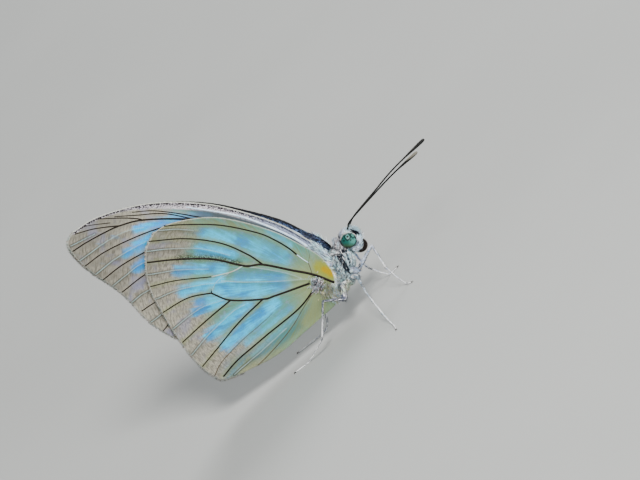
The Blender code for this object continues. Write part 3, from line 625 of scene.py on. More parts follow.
def front_band(paint, colour):
    """The speckled band down the forewing's front: lilac white by the root, violet and white further out."""
    front = paint.field("front")
    reach = paint.field("reach")
    grain = paint.noise(paint.rows(1.4, 5.0), 1.0, 3.0, 0.7)
    speckle = paint.noise(paint.place(), 5.0, 3.0, 0.7)
    inward = paint.calc("MULTIPLY_ADD", front, 0.16, -0.1)
    outer = paint.blend(paint.ease(paint.plus(speckle, inward), 0.42, 0.54), VIOLET_DARK, PINK_WHITE)
    inner = paint.blend(paint.ease(grain, 0.36, 0.62), BAND_WHITE, BAND_GREY)
    band = paint.blend(paint.ease(reach, 8.0, 17.0), inner, outer)
    width = paint.plus(front, paint.times(paint.ease(reach, 21.0, 31.0), 0.7))
    colour = paint.lay(colour, band, paint.ease(width, 1.25, 1.0))
    # Painted shadow: a grey band beyond the white ridge, where the hindwing's front edge shades the
    # forewing, fading out beyond about 22 mm from the root.
    shade = paint.times(paint.ease(front, 0.9, 1.15), paint.ease(front, 3.2, 2.1))
    colour = paint.lay(colour, HINDWING_SHADOW_GREY, paint.times(shade, paint.ease(reach, 22.5, 18.5)), 0.9)
    line = paint.times(paint.ease(front, 0.14, 0.2), paint.ease(front, 0.42, 0.34))
    colour = paint.lay(colour, VEIN_BROWN, paint.times(line, paint.ease(speckle, 0.62, 0.5)), 0.85)
    return paint.lay(colour, EDGE_WHITE, paint.ease(front, 0.14, 0.1))


def upper_scales(name):
    """The upper side: blue with black veins, margins and front band, dusted blue towards the root."""
    paint = Paint(name, roughness=0.5, specular=0.15)
    place = paint.place()
    speck = paint.noise(place, 7.0, 3.0, 0.7)
    cloud = paint.noise(place, 0.6, 2.0)
    ground = paint.blend(paint.ease(cloud, 0.3, 0.7), UPPER_BLUE, TEAL_GROUND)
    wobble = paint.ripple(speck, 0.8)
    colour = paint.lay(ground, BLACK_SCALES, paint.ease(paint.plus(paint.field("rim"), wobble), 4.6, 3.6))
    colour = paint.lay(colour, BLACK_SCALES, paint.ease(paint.plus(paint.field("vein"), wobble), 0.45, 0.15))
    front = paint.field("front")
    dusted = paint.times(paint.ease(speck, 0.46, 0.6), paint.ease(paint.field("reach"), 19.0, 8.0))
    band = paint.lay(BLACK_SCALES, DUST_BLUE, paint.times(dusted, paint.ease(front, 0.12, 0.5)))
    colour = paint.lay(colour, band, paint.ease(paint.plus(front, wobble), 2.6, 2.0))
    return paint.finish(colour, speck, 0.3, 0.04)


def plain_scales(name, first, second, scale, roughness=0.6, specular=0.3):
    paint = Paint(name, roughness, specular)
    grain = paint.noise(paint.place(), scale, 3.0, 0.6)
    return paint.finish(paint.blend(paint.ease(grain, 0.35, 0.65), first, second), grain, 0.3, 0.03)


def coat_paint(name, roughness):
    """Takes the markings that each point of skin or coat carries, with a fine grain over them."""
    paint = Paint(name, roughness, 0.25)
    grain = paint.noise(paint.place(), 6.0, 2.0)
    shade = paint.lay(paint.field("markings", "Color"), DARK_GREY, paint.ease(grain, 0.4, 0.8), 0.08)
    return paint.finish(shade, grain, 0.25, 0.02)


def eye_paint():
    """A green eye with dark spots: a ringed diamond, a second ring and smaller spots, over fine facets."""
    paint = Paint("faceted green eye", roughness=0.36, specular=0.25)
    spot = paint.node("ShaderNodeUVMap", {"uv_map": "EyeMap"}).outputs[0]
    parts = paint.node("ShaderNodeSeparateXYZ", Vector=spot)
    across, up = parts.outputs[0], parts.outputs[1]
    soft = paint.noise(spot, 1.8, 3.0)
    speck = paint.noise(spot, 9.0, 2.0, 0.6)

    def diamond(centre, half):
        gaps = [paint.calc("DIVIDE", paint.calc("ABSOLUTE", paint.calc("SUBTRACT", value, middle)), size)
                for value, middle, size in zip((across, up), centre, half)]
        rounded = paint.calc("SQRT", paint.plus(*[paint.times(gap, gap) for gap in gaps]))
        shape = paint.times(paint.plus(paint.plus(*gaps), rounded), 0.5)
        return paint.plus(shape, paint.ripple(speck, 0.3))

    lit = paint.times(paint.ease(across, -0.2, 0.7), paint.ease(soft, 0.3, 0.6))
    colour = paint.blend(lit, EYE_DEEP, EYE_GREEN)
    colour = paint.lay(colour, EYE_OLIVE, paint.ease(up, -0.3, -0.95))
    colour = paint.lay(colour, EYE_DUST, paint.times(paint.ease(up, 0.5, 1.0), paint.ease(speck, 0.45, 0.6)))
    for centre, half in EYE_RINGS:
        ring = diamond(centre, half)
        colour = paint.lay(colour, EYE_PALE, paint.ease(ring, 0.66, 0.5))
        dark = paint.times(paint.ease(ring, 0.46, 0.64), paint.ease(ring, 1.04, 0.84))
        colour = paint.lay(colour, EYE_DARK, dark, 0.9)
    for centre, size in EYE_SPOTS:
        colour = paint.lay(colour, EYE_BLACK, paint.ease(diamond(centre, (size, size)), 1.05, 0.6))
    far = paint.calc("SQRT", paint.plus(paint.times(across, across), paint.times(up, up)))
    rim = paint.times(paint.ease(far, 0.8, 0.9), paint.ease(paint.calc("SUBTRACT", across, up), 0.2, 0.8))
    colour = paint.lay(colour, EYE_BLACK, rim, 0.85)
    facets = paint.node("ShaderNodeTexVoronoi", Vector=spot, Scale=26.0).outputs["Distance"]
    return paint.finish(colour, facets, 0.2, 0.02)


def tubes(name, runs, sides):
    """Round tubes closed at both ends, one for each run of points and radii, as one mesh."""
    curve = bpy.data.curves.new(name, "CURVE")
    curve.dimensions = "3D"
    curve.bevel_depth = 1.0
    curve.bevel_resolution = (sides - 4) // 2
    curve.use_fill_caps = True
    for points, radii in runs:
        spline = curve.splines.new("POLY")
        spline.points.add(len(points) - 1)
        for dot, point, radius in zip(spline.points, points, radii):
            dot.co = (*point, 1.0)
            dot.radius = radius
    guide = put_in_scene(name + "_guide", curve)
    mesh = bpy.data.meshes.new_from_object(guide.evaluated_get(bpy.context.evaluated_depsgraph_get()))
    bpy.data.objects.remove(guide)
    bpy.data.curves.remove(curve)
    bm = bmesh.new()
    bm.from_mesh(mesh)
    bpy.data.meshes.remove(mesh)
    bmesh.ops.remove_doubles(bm, verts=bm.verts, dist=0.0005)
    bmesh.ops.recalc_face_normals(bm, faces=bm.faces)
    return bm


def sheet_swell(x, z):
    """How much further out a wing lies here than at its tip."""
    a = np.array((THORAX_CENTRE.x, THORAX_CENTRE.z))
    b = np.array((TAIL_END.x, TAIL_END.z))
    beside_abdomen = how_far(np.stack([x, z], axis=-1), (a, b))
    beside_thorax = np.hypot(x - a[0], z - a[1])
    return (ABDOMEN_SWELL * np.exp(-(beside_abdomen / ABDOMEN_REACH) ** 2)
            + THORAX_SWELL * np.exp(-(beside_thorax / THORAX_REACH) ** 2))


def turned_back(spots):
    """Where places on the right forewing's pattern lie on the left forewing."""
    angle = math.radians(LEFT_FOREWING_TURN)
    turn = np.array(((math.cos(angle), -math.sin(angle)), (math.sin(angle), math.cos(angle))))
    reach = np.linalg.norm(spots - FOREWING_ROOT, axis=1)
    tucked = (ease(reach, 3.0, 15.0) - 0.2 * ease(reach, 20.0, 28.0))[:, None]
    turned = (spots - FOREWING_ROOT) @ turn.T + FOREWING_ROOT
    return turned + LEFT_FOREWING_SHIFT + tucked * LEFT_FOREWING_TUCK


def trimmed_grid(rim):
    """A fine grid cut to an outline, with its edge drawn on to the outline."""
    low = rim.min(axis=0)
    counts = np.ceil((rim.max(axis=0) - low) / SHEET_STEP).astype(int) + 2
    size = counts * SHEET_STEP
    middle = low - SHEET_STEP + 0.5 * size
    bm = bmesh.new()
    bmesh.ops.create_grid(bm, x_segments=int(counts[0]), y_segments=int(counts[1]), size=0.5,
                          matrix=Matrix.Translation((*middle, 0.0)) @ Matrix.Diagonal((*size, 1.0, 1.0)))
    border = np.vstack([rim, rim[:1]])
    spots = np.array([vertex.co[:2] for vertex in bm.verts])
    outside = ~inside(spots, rim)
    near = how_far(spots, border)
    waste = [vertex for vertex, out, gap in zip(bm.verts, outside, near) if out and gap > 0.35 * SHEET_STEP]
    bmesh.ops.delete(bm, geom=waste, context="VERTS")
    bmesh.ops.delete(bm, geom=[vertex for vertex in bm.verts if not vertex.link_faces], context="VERTS")
    ring = [vertex for vertex in bm.verts if vertex.is_boundary]
    places = nearest_on(np.array([vertex.co[:2] for vertex in ring]), border)[0]
    for vertex, place in zip(ring, places):
        vertex.co.xy = place
    next_ring = {edge.other_vert(vertex) for vertex in ring for edge in vertex.link_edges} - set(ring)
    bmesh.ops.smooth_vert(bm, verts=list(next_ring), factor=0.5, use_axis_x=True, use_axis_y=True)
    return bm


class Wing:
    """The shared pattern of a right and left wing, worked out once in its own flat frame of x and z."""

    def __init__(self, kind, front, margin, back, veins, creases, blues, offset, root):
        self.kind = kind
        self.offset = offset
        self.front = smooth_line(front, 0.4)
        self.margin = smooth_line(margin, 0.4)
        self.back = smooth_line(back, 0.4)
        self.rim = np.vstack([self.front[:-1], self.margin[:-1], self.back[:-1]])
        self.border = np.vstack([self.rim, self.rim[:1]])
        self.veins = {name: (start, end, tone, smooth_line(points, 0.25))
                      for name, (start, end, tone, points) in veins.items()}
        self.creases = [smooth_line(points, 0.25) for points in creases]
        self.blues = blues
        self.root = root

    def lines(self, *tones):
        return [points for _, _, tone, points in self.veins.values() if tone in tones]

    def relief(self, spots):
        """How far the sheet stands out of its smooth middle: ridged at veins and creases, hollow between."""
        vein = gap_to(spots, self.lines("dark", "pale", "brown", "white"))
        crease = gap_to(spots, self.creases)
        edge = how_far(spots, self.border)
        ridged = 0.03 * np.exp(-(vein / 0.3) ** 2) + 0.09 * np.exp(-(crease / 0.3) ** 2)
        hollow = 0.06 * ease(np.minimum(vein, crease), 0.2, 1.1)
        return (ridged - hollow) * ease(edge, 0.0, 0.8)

    def surface(self, spots, side, out=0.0):
        """The place in space of spots of the flat frame, on the wing of one side."""
        lift = self.relief(spots) + out
        flat = turned_back(spots) if self.kind == "forewing" and side > 0.0 else spots
        y = self.offset + sheet_swell(flat[:, 0], flat[:, 1]) + lift
        if self.kind == "forewing":
            y = y - TIP_CLOSING * ease(np.linalg.norm(spots - self.root, axis=1), 12.0, 30.0)
        return np.stack([flat[:, 0], side * y, flat[:, 1]], axis=1)

    def fields(self, spots):
        """The masks that the scales' finish reads, each a number for every point of the sheet."""
        sky = np.zeros(len(spots))
        for start, end, half_width, strength in self.blues:
            gap = how_far(spots, (start, end))
            sky = np.maximum(sky, strength * np.exp(-(gap / (1.3 * half_width)) ** 2))
        rim = how_far(spots, self.margin)
        masks = dict.fromkeys(("yellow", "olive", "fuzz", "shade"), np.zeros(len(spots)))
        masks.update({
            "sky": sky,
            "rim": rim,
            "front": how_far(spots, self.front),
            "edge": how_far(spots, self.border),
            "vein": gap_to(spots, self.lines("dark")),
            "crease": gap_to(spots, self.creases),
            "reach": np.linalg.norm(spots - self.root, axis=1),
            "dusk": 0.35 * ease(spots[:, 1], 19.0, 27.0) * ease(rim, 9.0, 4.0),
        })
        if self.kind == "hindwing":
            masks.update(self.hindwing_fields(spots, masks))
        return masks

    def hindwing_fields(self, spots, masks):
        """The yellow and olive by the root, the shade along the back, a dark smudge and a dusky front."""
        pale = how_far(spots, ((-2.2, 9.4), (-1.5, 8.0)))
        strong = how_far(spots, ((-1.9, 8.9), (-1.5, 8.0)))
        corner = how_far(spots, smooth_line(((-4.4, 6.8), (-6.2, 5.0), (-8.5, 3.9)), 0.5))
        smudge = how_far(spots, smooth_line(((-10.2, 17.3), (-12.5, 20.4), (-15.9, 23.5)), 0.5))
        back = how_far(spots, self.back)
        front = ease(masks["front"], 2.4, 0.8) * ease(masks["reach"], 9.0, 15.0)
        olives = (0.8 * ease(masks["reach"], 6.0, 1.5), 0.8 * ease(corner, 1.9, 0.7),
                  0.55 * ease(back, 1.5, 0.5), 0.25 * front)
        return {
            "yellow": np.maximum(0.7 * ease(pale, 1.5, 0.4), 1.1 * np.exp(-(strong / 0.8) ** 2)),
            "olive": np.max(olives, axis=0),
            "shade": 0.75 * ease(back, 3.8, 1.4) * ease(back, 0.2, 1.2),
            "fuzz": np.exp(-(smudge / 0.5) ** 2),
            "dusk": np.maximum(masks["dusk"], 0.22 * front),
        }


def build_wing(wing, side, word, under, upper, edge_white):
    """One wing's sheet, with a finish on each face and one on its edge."""
    name = f"{wing.kind}_{word}"
    bm = trimmed_grid(wing.rim)
    spots = np.array([vertex.co[:2] for vertex in bm.verts])
    for vertex, place in zip(bm.verts, wing.surface(spots, side)):
        vertex.co = place
    bm.normal_update()
    if sum(face.normal.y for face in bm.faces) * side < 0.0:
        bmesh.ops.reverse_faces(bm, faces=bm.faces)
    mesh = mesh_of(name + "_sheet", bm)
    for mask, values in wing.fields(spots).items():
        mesh.attributes.new(mask, "FLOAT", "POINT").data.foreach_set("value", values.astype(np.float32))
    owners = np.zeros(len(mesh.loops), np.int32)
    mesh.loops.foreach_get("vertex_index", owners)
    away = spots - wing.root
    bend = np.arctan2(-away[:, 0], away[:, 1]) * ROW_BEND
    polar = np.stack([np.linalg.norm(away, axis=1), bend], axis=1)
    rows = mesh.uv_layers.new(name="Rows")
    rows.data.foreach_set("uv", polar[owners].astype(np.float32).ravel())
    sheet = add_piece(name + "_sheet", mesh, (under, upper, edge_white), (name,))
    solid = sheet.modifiers.new("Thickness", "SOLIDIFY")
    solid.thickness = SHEET_THICKNESS * MM
    solid.offset = 0.0
    solid.material_offset = 1
    solid.material_offset_rim = 2


def build_wing_lines(wing, side, word, tones):
    """The veins by tone, and the creases, as tapering ridges that stand out of both faces."""
    runs = {tone: [] for tone in tones}
    for start, end, tone, points in wing.veins.values():
        radii = VEIN_GROWTH * np.linspace(start, end, len(points))
        runs[tone].append((wing.surface(points, side), radii))
    # The creases share the pale-toned veins' finish, as a painted highlight along their ridges.
    for points in wing.creases:
        radii = np.linspace(*CREASE_RADII, len(points))
        runs["pale"].append((wing.surface(points, side, CREASE_LIFT), radii))
    for tone, material in tones.items():
        if runs[tone]:
            name = f"{wing.kind}_{word}_{tone}_veins"
            add_piece(name, mesh_of(name, tubes(name, runs[tone], 6)), (material,))


def oval(bm, centre, half, pitch, segments=32, profile=None):
    """Adds an egg with its poles along X, pitched up at the front. A profile gives its girth along it."""
    made = bmesh.ops.create_uvsphere(bm, u_segments=segments, v_segments=segments, radius=1.0,
                                     matrix=Matrix.Rotation(math.radians(90.0), 4, "Y"))["verts"]
    for vertex in made:
        x, y, z = vertex.co
        girth = profile(x) if profile else 1.0
        vertex.co = (x * half[0], y * half[1] * girth, z * half[2] * girth)
    turn = Matrix.Rotation(math.radians(-pitch), 4, "Y")
    bmesh.ops.transform(bm, verts=made, matrix=Matrix.Translation(centre) @ turn)


def leg_line(name):
    """A leg's middle line with rounded bends, and the radius and the stage of each of its points."""
    joints = LEG_JOINTS[name]
    lifted = [np.array(joint, float) for joint in joints]
    for joint in lifted[-2:]:
        joint[2] += FOOT_RADIUS
    points = []
    stages = []
    for index, (a, b) in enumerate(zip(lifted[:-1], lifted[1:])):
        parts = max(3, round(float(np.linalg.norm(b - a)) / LEG_STEP))
        t = np.arange(parts) / parts
        points.append(a + t[:, None] * (b - a))
        stages.append(index + t)
    points = np.vstack(points + [lifted[-1][None]])
    stages = np.concatenate(stages + [[len(lifted) - 1.0]])
    for _ in range(LEG_ROUNDING):
        points[1:-1] = 0.25 * points[:-2] + 0.5 * points[1:-1] + 0.25 * points[2:]
    girth = THIGH_GIRTH[name.rsplit("_", 1)[0]]
    radii = np.interp(stages, LEG_STAGES, LEG_RADII)
    radii = radii * (1.0 - (1.0 - girth) * ease(stages, 0.9, 1.1) * ease(2.1 - stages, 0.0, 0.2))
    lengths = lengths_to(points)
    foot_start = np.interp(3.0, stages, lengths)
    foot = (lengths - foot_start) / (lengths[-1] - foot_start)
    ring = np.abs(np.sin(foot * math.pi * FOOT_RINGS))
    radii = radii * np.where(foot > 0.0, 0.82 + 0.22 * np.sqrt(ring), 1.0)
    radii[-1] *= 0.5
    return points, radii, stages


def build_skin(skin_paint, legs):
    """One skin over head, neck, thorax, abdomen and legs. Gives back its triangles, for hair to grow on."""
    bm = bmesh.new()
    for centre, half, pitch in TRUNK_OVALS.values():
        oval(bm, centre, half, pitch)
    for side, _ in SIDES:
        for centre, half, pitch in SIDE_OVALS:
            oval(bm, Vector(mirrored(centre, side)), half, pitch)

    def ringed(position):
        wave = math.cos((position + 1.0) * math.pi * ABDOMEN_SEGMENTS)
        return 1.0 - ABDOMEN_GROOVE * max(0.0, wave) - 0.1 * position

    oval(bm, ABDOMEN_CENTRE, ABDOMEN_HALF, ABDOMEN_PITCH, 96, ringed)
    trunk = put_in_scene("trunk", mesh_of("trunk", bm))
    remesh = trunk.modifiers.new("One skin", "REMESH")
    remesh.mode = "VOXEL"
    remesh.voxel_size = SKIN_VOXEL
    relax = trunk.modifiers.new("Relax", "SMOOTH")
    relax.iterations = 4
    relax.factor = 0.5
    runs = [(points, radii) for points, radii, _ in legs.values()]
    limbs = put_in_scene("legs", mesh_of("legs", tubes("legs", runs, 12)))
    union = trunk.modifiers.new("Legs", "BOOLEAN")
    union.operation = "UNION"
    union.solver = "MANIFOLD"
    union.object = limbs
    mesh = bpy.data.meshes.new_from_object(trunk.evaluated_get(bpy.context.evaluated_depsgraph_get()))
    bpy.data.objects.remove(trunk)
    bpy.data.objects.remove(limbs)
    spots = np.zeros(len(mesh.vertices) * 3)
    mesh.vertices.foreach_get("co", spots)
    spots = spots.reshape(-1, 3)
    colours = body_colours(spots)
    for name, (points, _, stages) in legs.items():
        on_leg = how_far(spots, points[stages > 0.8][::2]) < LEG_SKIN_REACH
        colours[on_leg] = rgb(LEG_TONES[name.split("_")[1]])
    paint_markings(mesh, UNDER_HAIR * colours)
    mesh.calc_loop_triangles()
    corners = np.zeros(len(mesh.loop_triangles) * 3, np.int32)
    mesh.loop_triangles.foreach_get("vertices", corners)
    faces = spots[corners.reshape(-1, 3)]
    add_piece("body_skin", mesh, (skin_paint,), ["head", "thorax", "abdomen", *legs])
    return faces


def paint_markings(mesh, colours):
    """Gives each point of a mesh the colour that the skin's and the coat's finish reads."""
    flat = np.concatenate([colours, np.ones((len(colours), 1))], axis=1).astype(np.float32)
    mesh.attributes.new("markings", "FLOAT_COLOR", "POINT").data.foreach_set("color", flat.ravel())


# Dark lines as seen from the side, as (x, z) with their half widths: on the thorax and before the eye.
THORAX_STRIPES = (
    (((0.4, 9.55), (0.9, 9.15), (1.7, 8.75)), 0.36),
    (((0.8, 9.1), (0.52, 8.4), (0.36, 7.6), (0.1, 6.7)), 0.17),
    (((1.15, 8.7), (0.85, 7.9), (0.6, 7.0), (0.32, 6.1), (0.15, 5.5)), 0.16),
    (((1.6, 8.3), (1.35, 7.5), (1.05, 6.7)), 0.09),
    (((-1.3, 8.3), (-0.8, 7.7)), 0.2),
    (((0.9, 9.5), (1.1, 9.0), (1.9, 8.6)), 0.22),
)
FACE_STREAK = ((3.9, 0.42, 10.1), (4.2, 0.44, 9.75), (4.35, 0.46, 9.3), (4.32, 0.5, 8.95), (4.2, 0.54, 8.75))
BROW = ((3.2, 0.55, 10.3), (3.6, 0.62, 10.1), (3.95, 0.66, 9.8))
CREST = ((3.5, 0.1, 10.35), (4.0, 0.12, 10.1), (4.4, 0.12, 9.7), (4.5, 0.12, 9.2))
# Locks on the face: the line that they grow along, their colour, flow and length.
FACE_LOCKS = (
    (FACE_STREAK, NIGHT_BLUE, (0.5, 0.0, -0.6), 0.55),
    (BROW, BLUE_WHITE, (0.2, 0.0, 1.0), 0.5),
    (CREST, BLUE_WHITE, (0.8, 0.0, 0.2), 0.85),
)


def body_colours(spots):
    """The markings of the skin and its coat at places in space."""
    x, y, z = spots.T
    colours = np.tile(rgb(BLUE_WHITE), (len(spots), 1))

    def lay(amount, colour):
        colours[:] += amount[:, None] * (rgb(colour) - colours)

    lay(0.9 * ease(-x, -0.4, 0.9) * ease(6.1 - z, 0.0, 1.2) * (x > -4.5), tint(200, 204, 176))
    lay(ease(-x, 3.2, 5.0) * ease(z, 4.9, 5.9) * 0.8, tint(110, 126, 136))
    lay(ease(-x, 3.2, 5.0) * ease(5.0 - z, 0.0, 0.8) * 0.7, tint(210, 210, 188))
    flat = np.stack([x, z], axis=1)
    beside = ease(np.abs(y), 0.3, 0.7)
    for points, half_width in THORAX_STRIPES:
        gap = how_far(flat, smooth_line(points, 0.3))
        lay(0.97 * beside * ease(gap, 1.7 * half_width, 0.7 * half_width), NIGHT_BLUE)
    collar = np.linalg.norm(spots - np.array((1.25, 0.0, 10.0)), axis=1)
    lay(0.85 * ease(collar, 1.3, 0.9), tint(158, 152, 156))
    lay(0.8 * ease(x, 2.0, 2.6), tint(208, 214, 236))
    lay(0.7 * ease(x, 1.8, 2.1) * ease(-x, -3.0, -2.5) * ease(z, 9.2, 9.8), tint(140, 142, 154))
    folded = np.stack([x, np.abs(y), z], axis=1)
    lay(0.95 * ease(how_far(folded, smooth_line(FACE_STREAK, 0.2)), 0.36, 0.22), NIGHT_BLUE)
    behind = how_far(flat, smooth_line(((2.1, 10.0), (1.95, 9.2), (2.2, 8.4)), 0.2))
    lay(0.9 * ease(behind, 0.32, 0.14), NIGHT_BLUE)
    return colours


# A tuft's sides, its width halfway along against that at its root, and half the size of its own patch on
# the bake's unwrap.
TUFT_SIDES = 3
TUFT_BELLY = 0.8
PATCH_HALF = 0.0015


def tuft_shape():
    """One closed tapering tuft, one unit long from its root at the origin, as points and triangles."""
    bm = bmesh.new()
    bmesh.ops.create_cone(bm, cap_ends=True, segments=TUFT_SIDES, radius1=1.0, radius2=0.0, depth=1.0,
                          matrix=Matrix.Translation((0.0, 0.0, 0.5)))
    bmesh.ops.remove_doubles(bm, verts=bm.verts, dist=0.0001)
    cut = bmesh.ops.bisect_plane(bm, geom=bm.verts[:] + bm.edges[:] + bm.faces[:], plane_co=(0.0, 0.0, 0.5),
                                 plane_no=(0.0, 0.0, 1.0))
    for part in cut["geom_cut"]:
        if isinstance(part, bmesh.types.BMVert):
            part.co.xy *= 2.0 * TUFT_BELLY
    bmesh.ops.triangulate(bm, faces=bm.faces)
    bmesh.ops.recalc_face_normals(bm, faces=bm.faces)
    bm.verts.index_update()
    points = np.array([vertex.co[:] for vertex in bm.verts])
    triangles = np.array([[vertex.index for vertex in face.verts] for face in bm.faces])
    bm.free()
    return points, triangles


def plant(name, tufts, material):
    """A coat of tufts as one mesh. Each has a root, direction, width axis, length, width, flatness,
    bend towards its tip, colour and place on the skin's unwrap."""
    points, triangles = tuft_shape()
    roots, along, across = tufts["root"], unit(tufts["along"]), tufts["across"]
    across = unit(across - (across * along).sum(axis=1, keepdims=True) * along)
    third = np.cross(along, across)
    length = tufts["length"][:, None, None]
    width = tufts["width"][:, None, None]
    flat = tufts["flat"]
    px, py, pz = (points[:, index][None, :, None] for index in range(3))
    spots = (roots[:, None, :] + across[:, None, :] * px * width + third[:, None, :] * py * width * flat
             + along[:, None, :] * pz * length + tufts["bend"][:, None, :] * pz ** 2 * length)
    count = len(roots)
    corners = triangles[None] + (np.arange(count) * len(points))[:, None, None]
    corners = corners.reshape(-1, 3)
    mesh = bpy.data.meshes.new(name)
    mesh.vertices.add(count * len(points))
    mesh.vertices.foreach_set("co", spots.astype(np.float32).ravel())
    mesh.loops.add(corners.size)
    mesh.loops.foreach_set("vertex_index", corners.astype(np.int32).ravel())
    mesh.polygons.add(len(corners))
    mesh.polygons.foreach_set("loop_start", np.arange(0, corners.size, 3, dtype=np.int32))
    mesh.update(calc_edges=True)
    paint_markings(mesh, np.repeat(tufts["colour"], len(points), axis=0))
    local = np.stack([points[:, 0], points[:, 2] - 0.5], axis=1) * PATCH_HALF
    patches = (tufts["patch"][:, None, :] + local[None]).reshape(-1, 2)
    layer = mesh.uv_layers.new(name="OFBake")
    layer.data.foreach_set("uv", patches[corners.ravel()].astype(np.float32).ravel())
    add_piece(name, mesh, (material,))


def scatter(faces, per_square, draw):
    """Random places on triangles, with the triangles' normals."""
    normals = np.cross(faces[:, 1] - faces[:, 0], faces[:, 2] - faces[:, 0])
    areas = 0.5 * np.linalg.norm(normals, axis=1)
    count = int(areas.sum() * per_square)
    chosen = draw.choice(len(faces), count, p=areas / areas.sum())
    u, v = draw.random((2, count))
    flip = u + v > 1.0
    u[flip], v[flip] = 1.0 - u[flip], 1.0 - v[flip]
    a, b, c = (faces[chosen, index] for index in range(3))
    return a + u[:, None] * (b - a) + v[:, None] * (c - a), unit(normals[chosen])


def trunk_patch(spots):
    """Places on an unwrap of the trunk: along it one way and round it the other."""
    x, y, z = spots.T
    middle = np.interp(x, (-16.0, -4.0, -0.9, 1.5, 3.1), (5.0, 5.4, 6.75, 8.8, 9.3))
    round_it = np.arctan2(y, z - middle) / math.tau + 0.5
    return np.stack([0.02 + 0.6 * (x + 16.5) / 21.5, 0.02 + 0.5 * round_it], axis=1)


def wing_patch(spots, row):
    """Places on an unwrap of a wing's edge or root, in a row of their own."""
    return np.stack([0.66 + 0.01 * (spots[:, 0] + 27.0), row + 0.002 * spots[:, 1]], axis=1)


def clumps(spots, size, draw):
    """A smooth random value over space, about one on average either way, that changes over the size."""
    waves = unit(draw.standard_normal((12, 3))) * (math.tau / size) * draw.uniform(0.7, 1.6, (12, 1))
    return np.sin(spots @ waves.T + draw.random(12) * math.tau).sum(axis=1) / 2.4


def coat_tufts(roots, normals, flow, lengths, width, flat, lift, draw, colours, patches, contrast=0.3):
    """Tufts that leave the skin at a slant along the flow and bend back to lie along it, in locks."""
    flow = unit(flow - (flow * normals).sum(axis=1, keepdims=True) * normals)
    streak = roots - 0.7 * (roots * flow).sum(axis=1, keepdims=True) * flow
    sway = np.stack([clumps(streak, 0.5, draw) for _ in range(3)], axis=1)
    lie = flow + 0.22 * sway + 0.16 * draw.standard_normal(roots.shape)
    lie = unit(lie - (lie * normals).sum(axis=1, keepdims=True) * normals)
    along = unit(lie + lift * normals)
    shade = 1.0 + contrast * clumps(streak, 0.4, draw) + 0.5 * contrast * draw.standard_normal(len(roots))
    warmth = 0.08 * clumps(roots, 0.7, draw)[:, None] * np.array((1.0, 0.0, -0.3))
    colours = colours * (1.0 + warmth)
    return {
        "root": roots - 0.03 * normals,
        "along": along,
        "across": np.cross(lie, normals),
        "length": lengths * draw.uniform(0.7, 1.3, len(roots)),
        "width": width * draw.uniform(0.7, 1.3, len(roots)),
        "flat": flat,
        "bend": 0.45 * lie - 0.35 * lift * normals,
        "colour": np.clip(colours * np.clip(shade, 0.1, 1.4)[:, None], 0.0, 1.0),
        "patch": patches,
    }


def build_trunk_coat(faces, legs, coat):
    """Hair on head and thorax and scales on the abdomen, but none on the legs or within the eyes."""
    draw = np.random.default_rng(11)
    roots, normals = scatter(faces, HAIR_ROOTS, draw)
    x, _, z = roots.T
    bare = z < HAIR_FLOOR
    for points, _, stages in legs.values():
        bare |= how_far(roots, points[stages > 0.7][::2]) < 0.5
    for side, _ in SIDES:
        away = (roots - mirrored(EYE_CENTRE, side)) / (0.98 * np.array(EYE_HALF))
        bare |= (away ** 2).sum(axis=1) < 1.0
    abdomen = ~bare & (x < ABDOMEN_START)
    head = ~bare & (x > HEAD_START)
    thorax = ~bare & ~abdomen & ~head
    for name, part in (("thorax_hair", thorax), ("head_hair", head), ("abdomen_scales", abdomen)):
        part = np.flatnonzero(part)[::2]
        spot, normal = roots[part], normals[part]
        px, py, pz = spot.T
        if name == "head_hair":
            flow = unit(spot - np.array((2.3, 0.0, 8.9))) + np.array((0.35, 0.0, 0.3))
            flow[px < 2.9] = (0.25, 0.0, 0.6)
            crest = ease(px, 3.8, 4.2) * ease(0.3 - np.abs(py), 0.0, 0.1)
            lengths = 0.4 + 0.2 * ease(pz, 9.6, 10.4) + 0.45 * crest
            width, flat, lift = 0.055, 0.5, 1.0
        elif name == "thorax_hair":
            flow = np.tile((-0.45, 0.0, -0.85), (len(part), 1))
            flow[:, 1] = 0.1 * np.sign(py)
            lengths = 0.34 + 0.3 * ease(pz, 6.4, 8.4) * ease(-px, -0.6, 1.0)
            width, flat, lift = 0.055, 0.5, 0.4
            collar = (pz > 9.3) & (px > 0.6)
            flow[collar] = (0.6, 0.0, 0.55)
        else:
            flow = np.array((-1.0, 0.0, -0.1))
            lengths = 0.36
            width, flat, lift = 0.06, 0.25, 0.22
        slot, contrast = ("abdomen_scales", 0.3) if name == "abdomen_scales" else ("body_hair", 0.55)
        tufts = coat_tufts(spot, normal, flow, lengths, width, flat, lift, draw, body_colours(spot),
                           trunk_patch(spot), contrast)
        plant(name, tufts, coat)


def build_face_locks(coat):
    """On each side a dark lock down the front of the face, and pale hair on brow and crest."""
    draw = np.random.default_rng(17)
    groups = []
    for side, _ in SIDES:
        for points, colour, flow, length in FACE_LOCKS:
            roots = np.repeat(smooth_line(mirrored(points, side), 0.08), LOCK_TUFTS, axis=0)
            roots = roots + 0.09 * draw.standard_normal(roots.shape)
            normals = unit(roots - np.array((3.1, 0.0, 9.2)))
            groups.append(coat_tufts(roots, normals, np.array(flow), length, 0.05, 0.5, 1.2, draw,
                                     rgb(colour), trunk_patch(roots)))
    plant("face_locks", join_tufts(groups), coat)


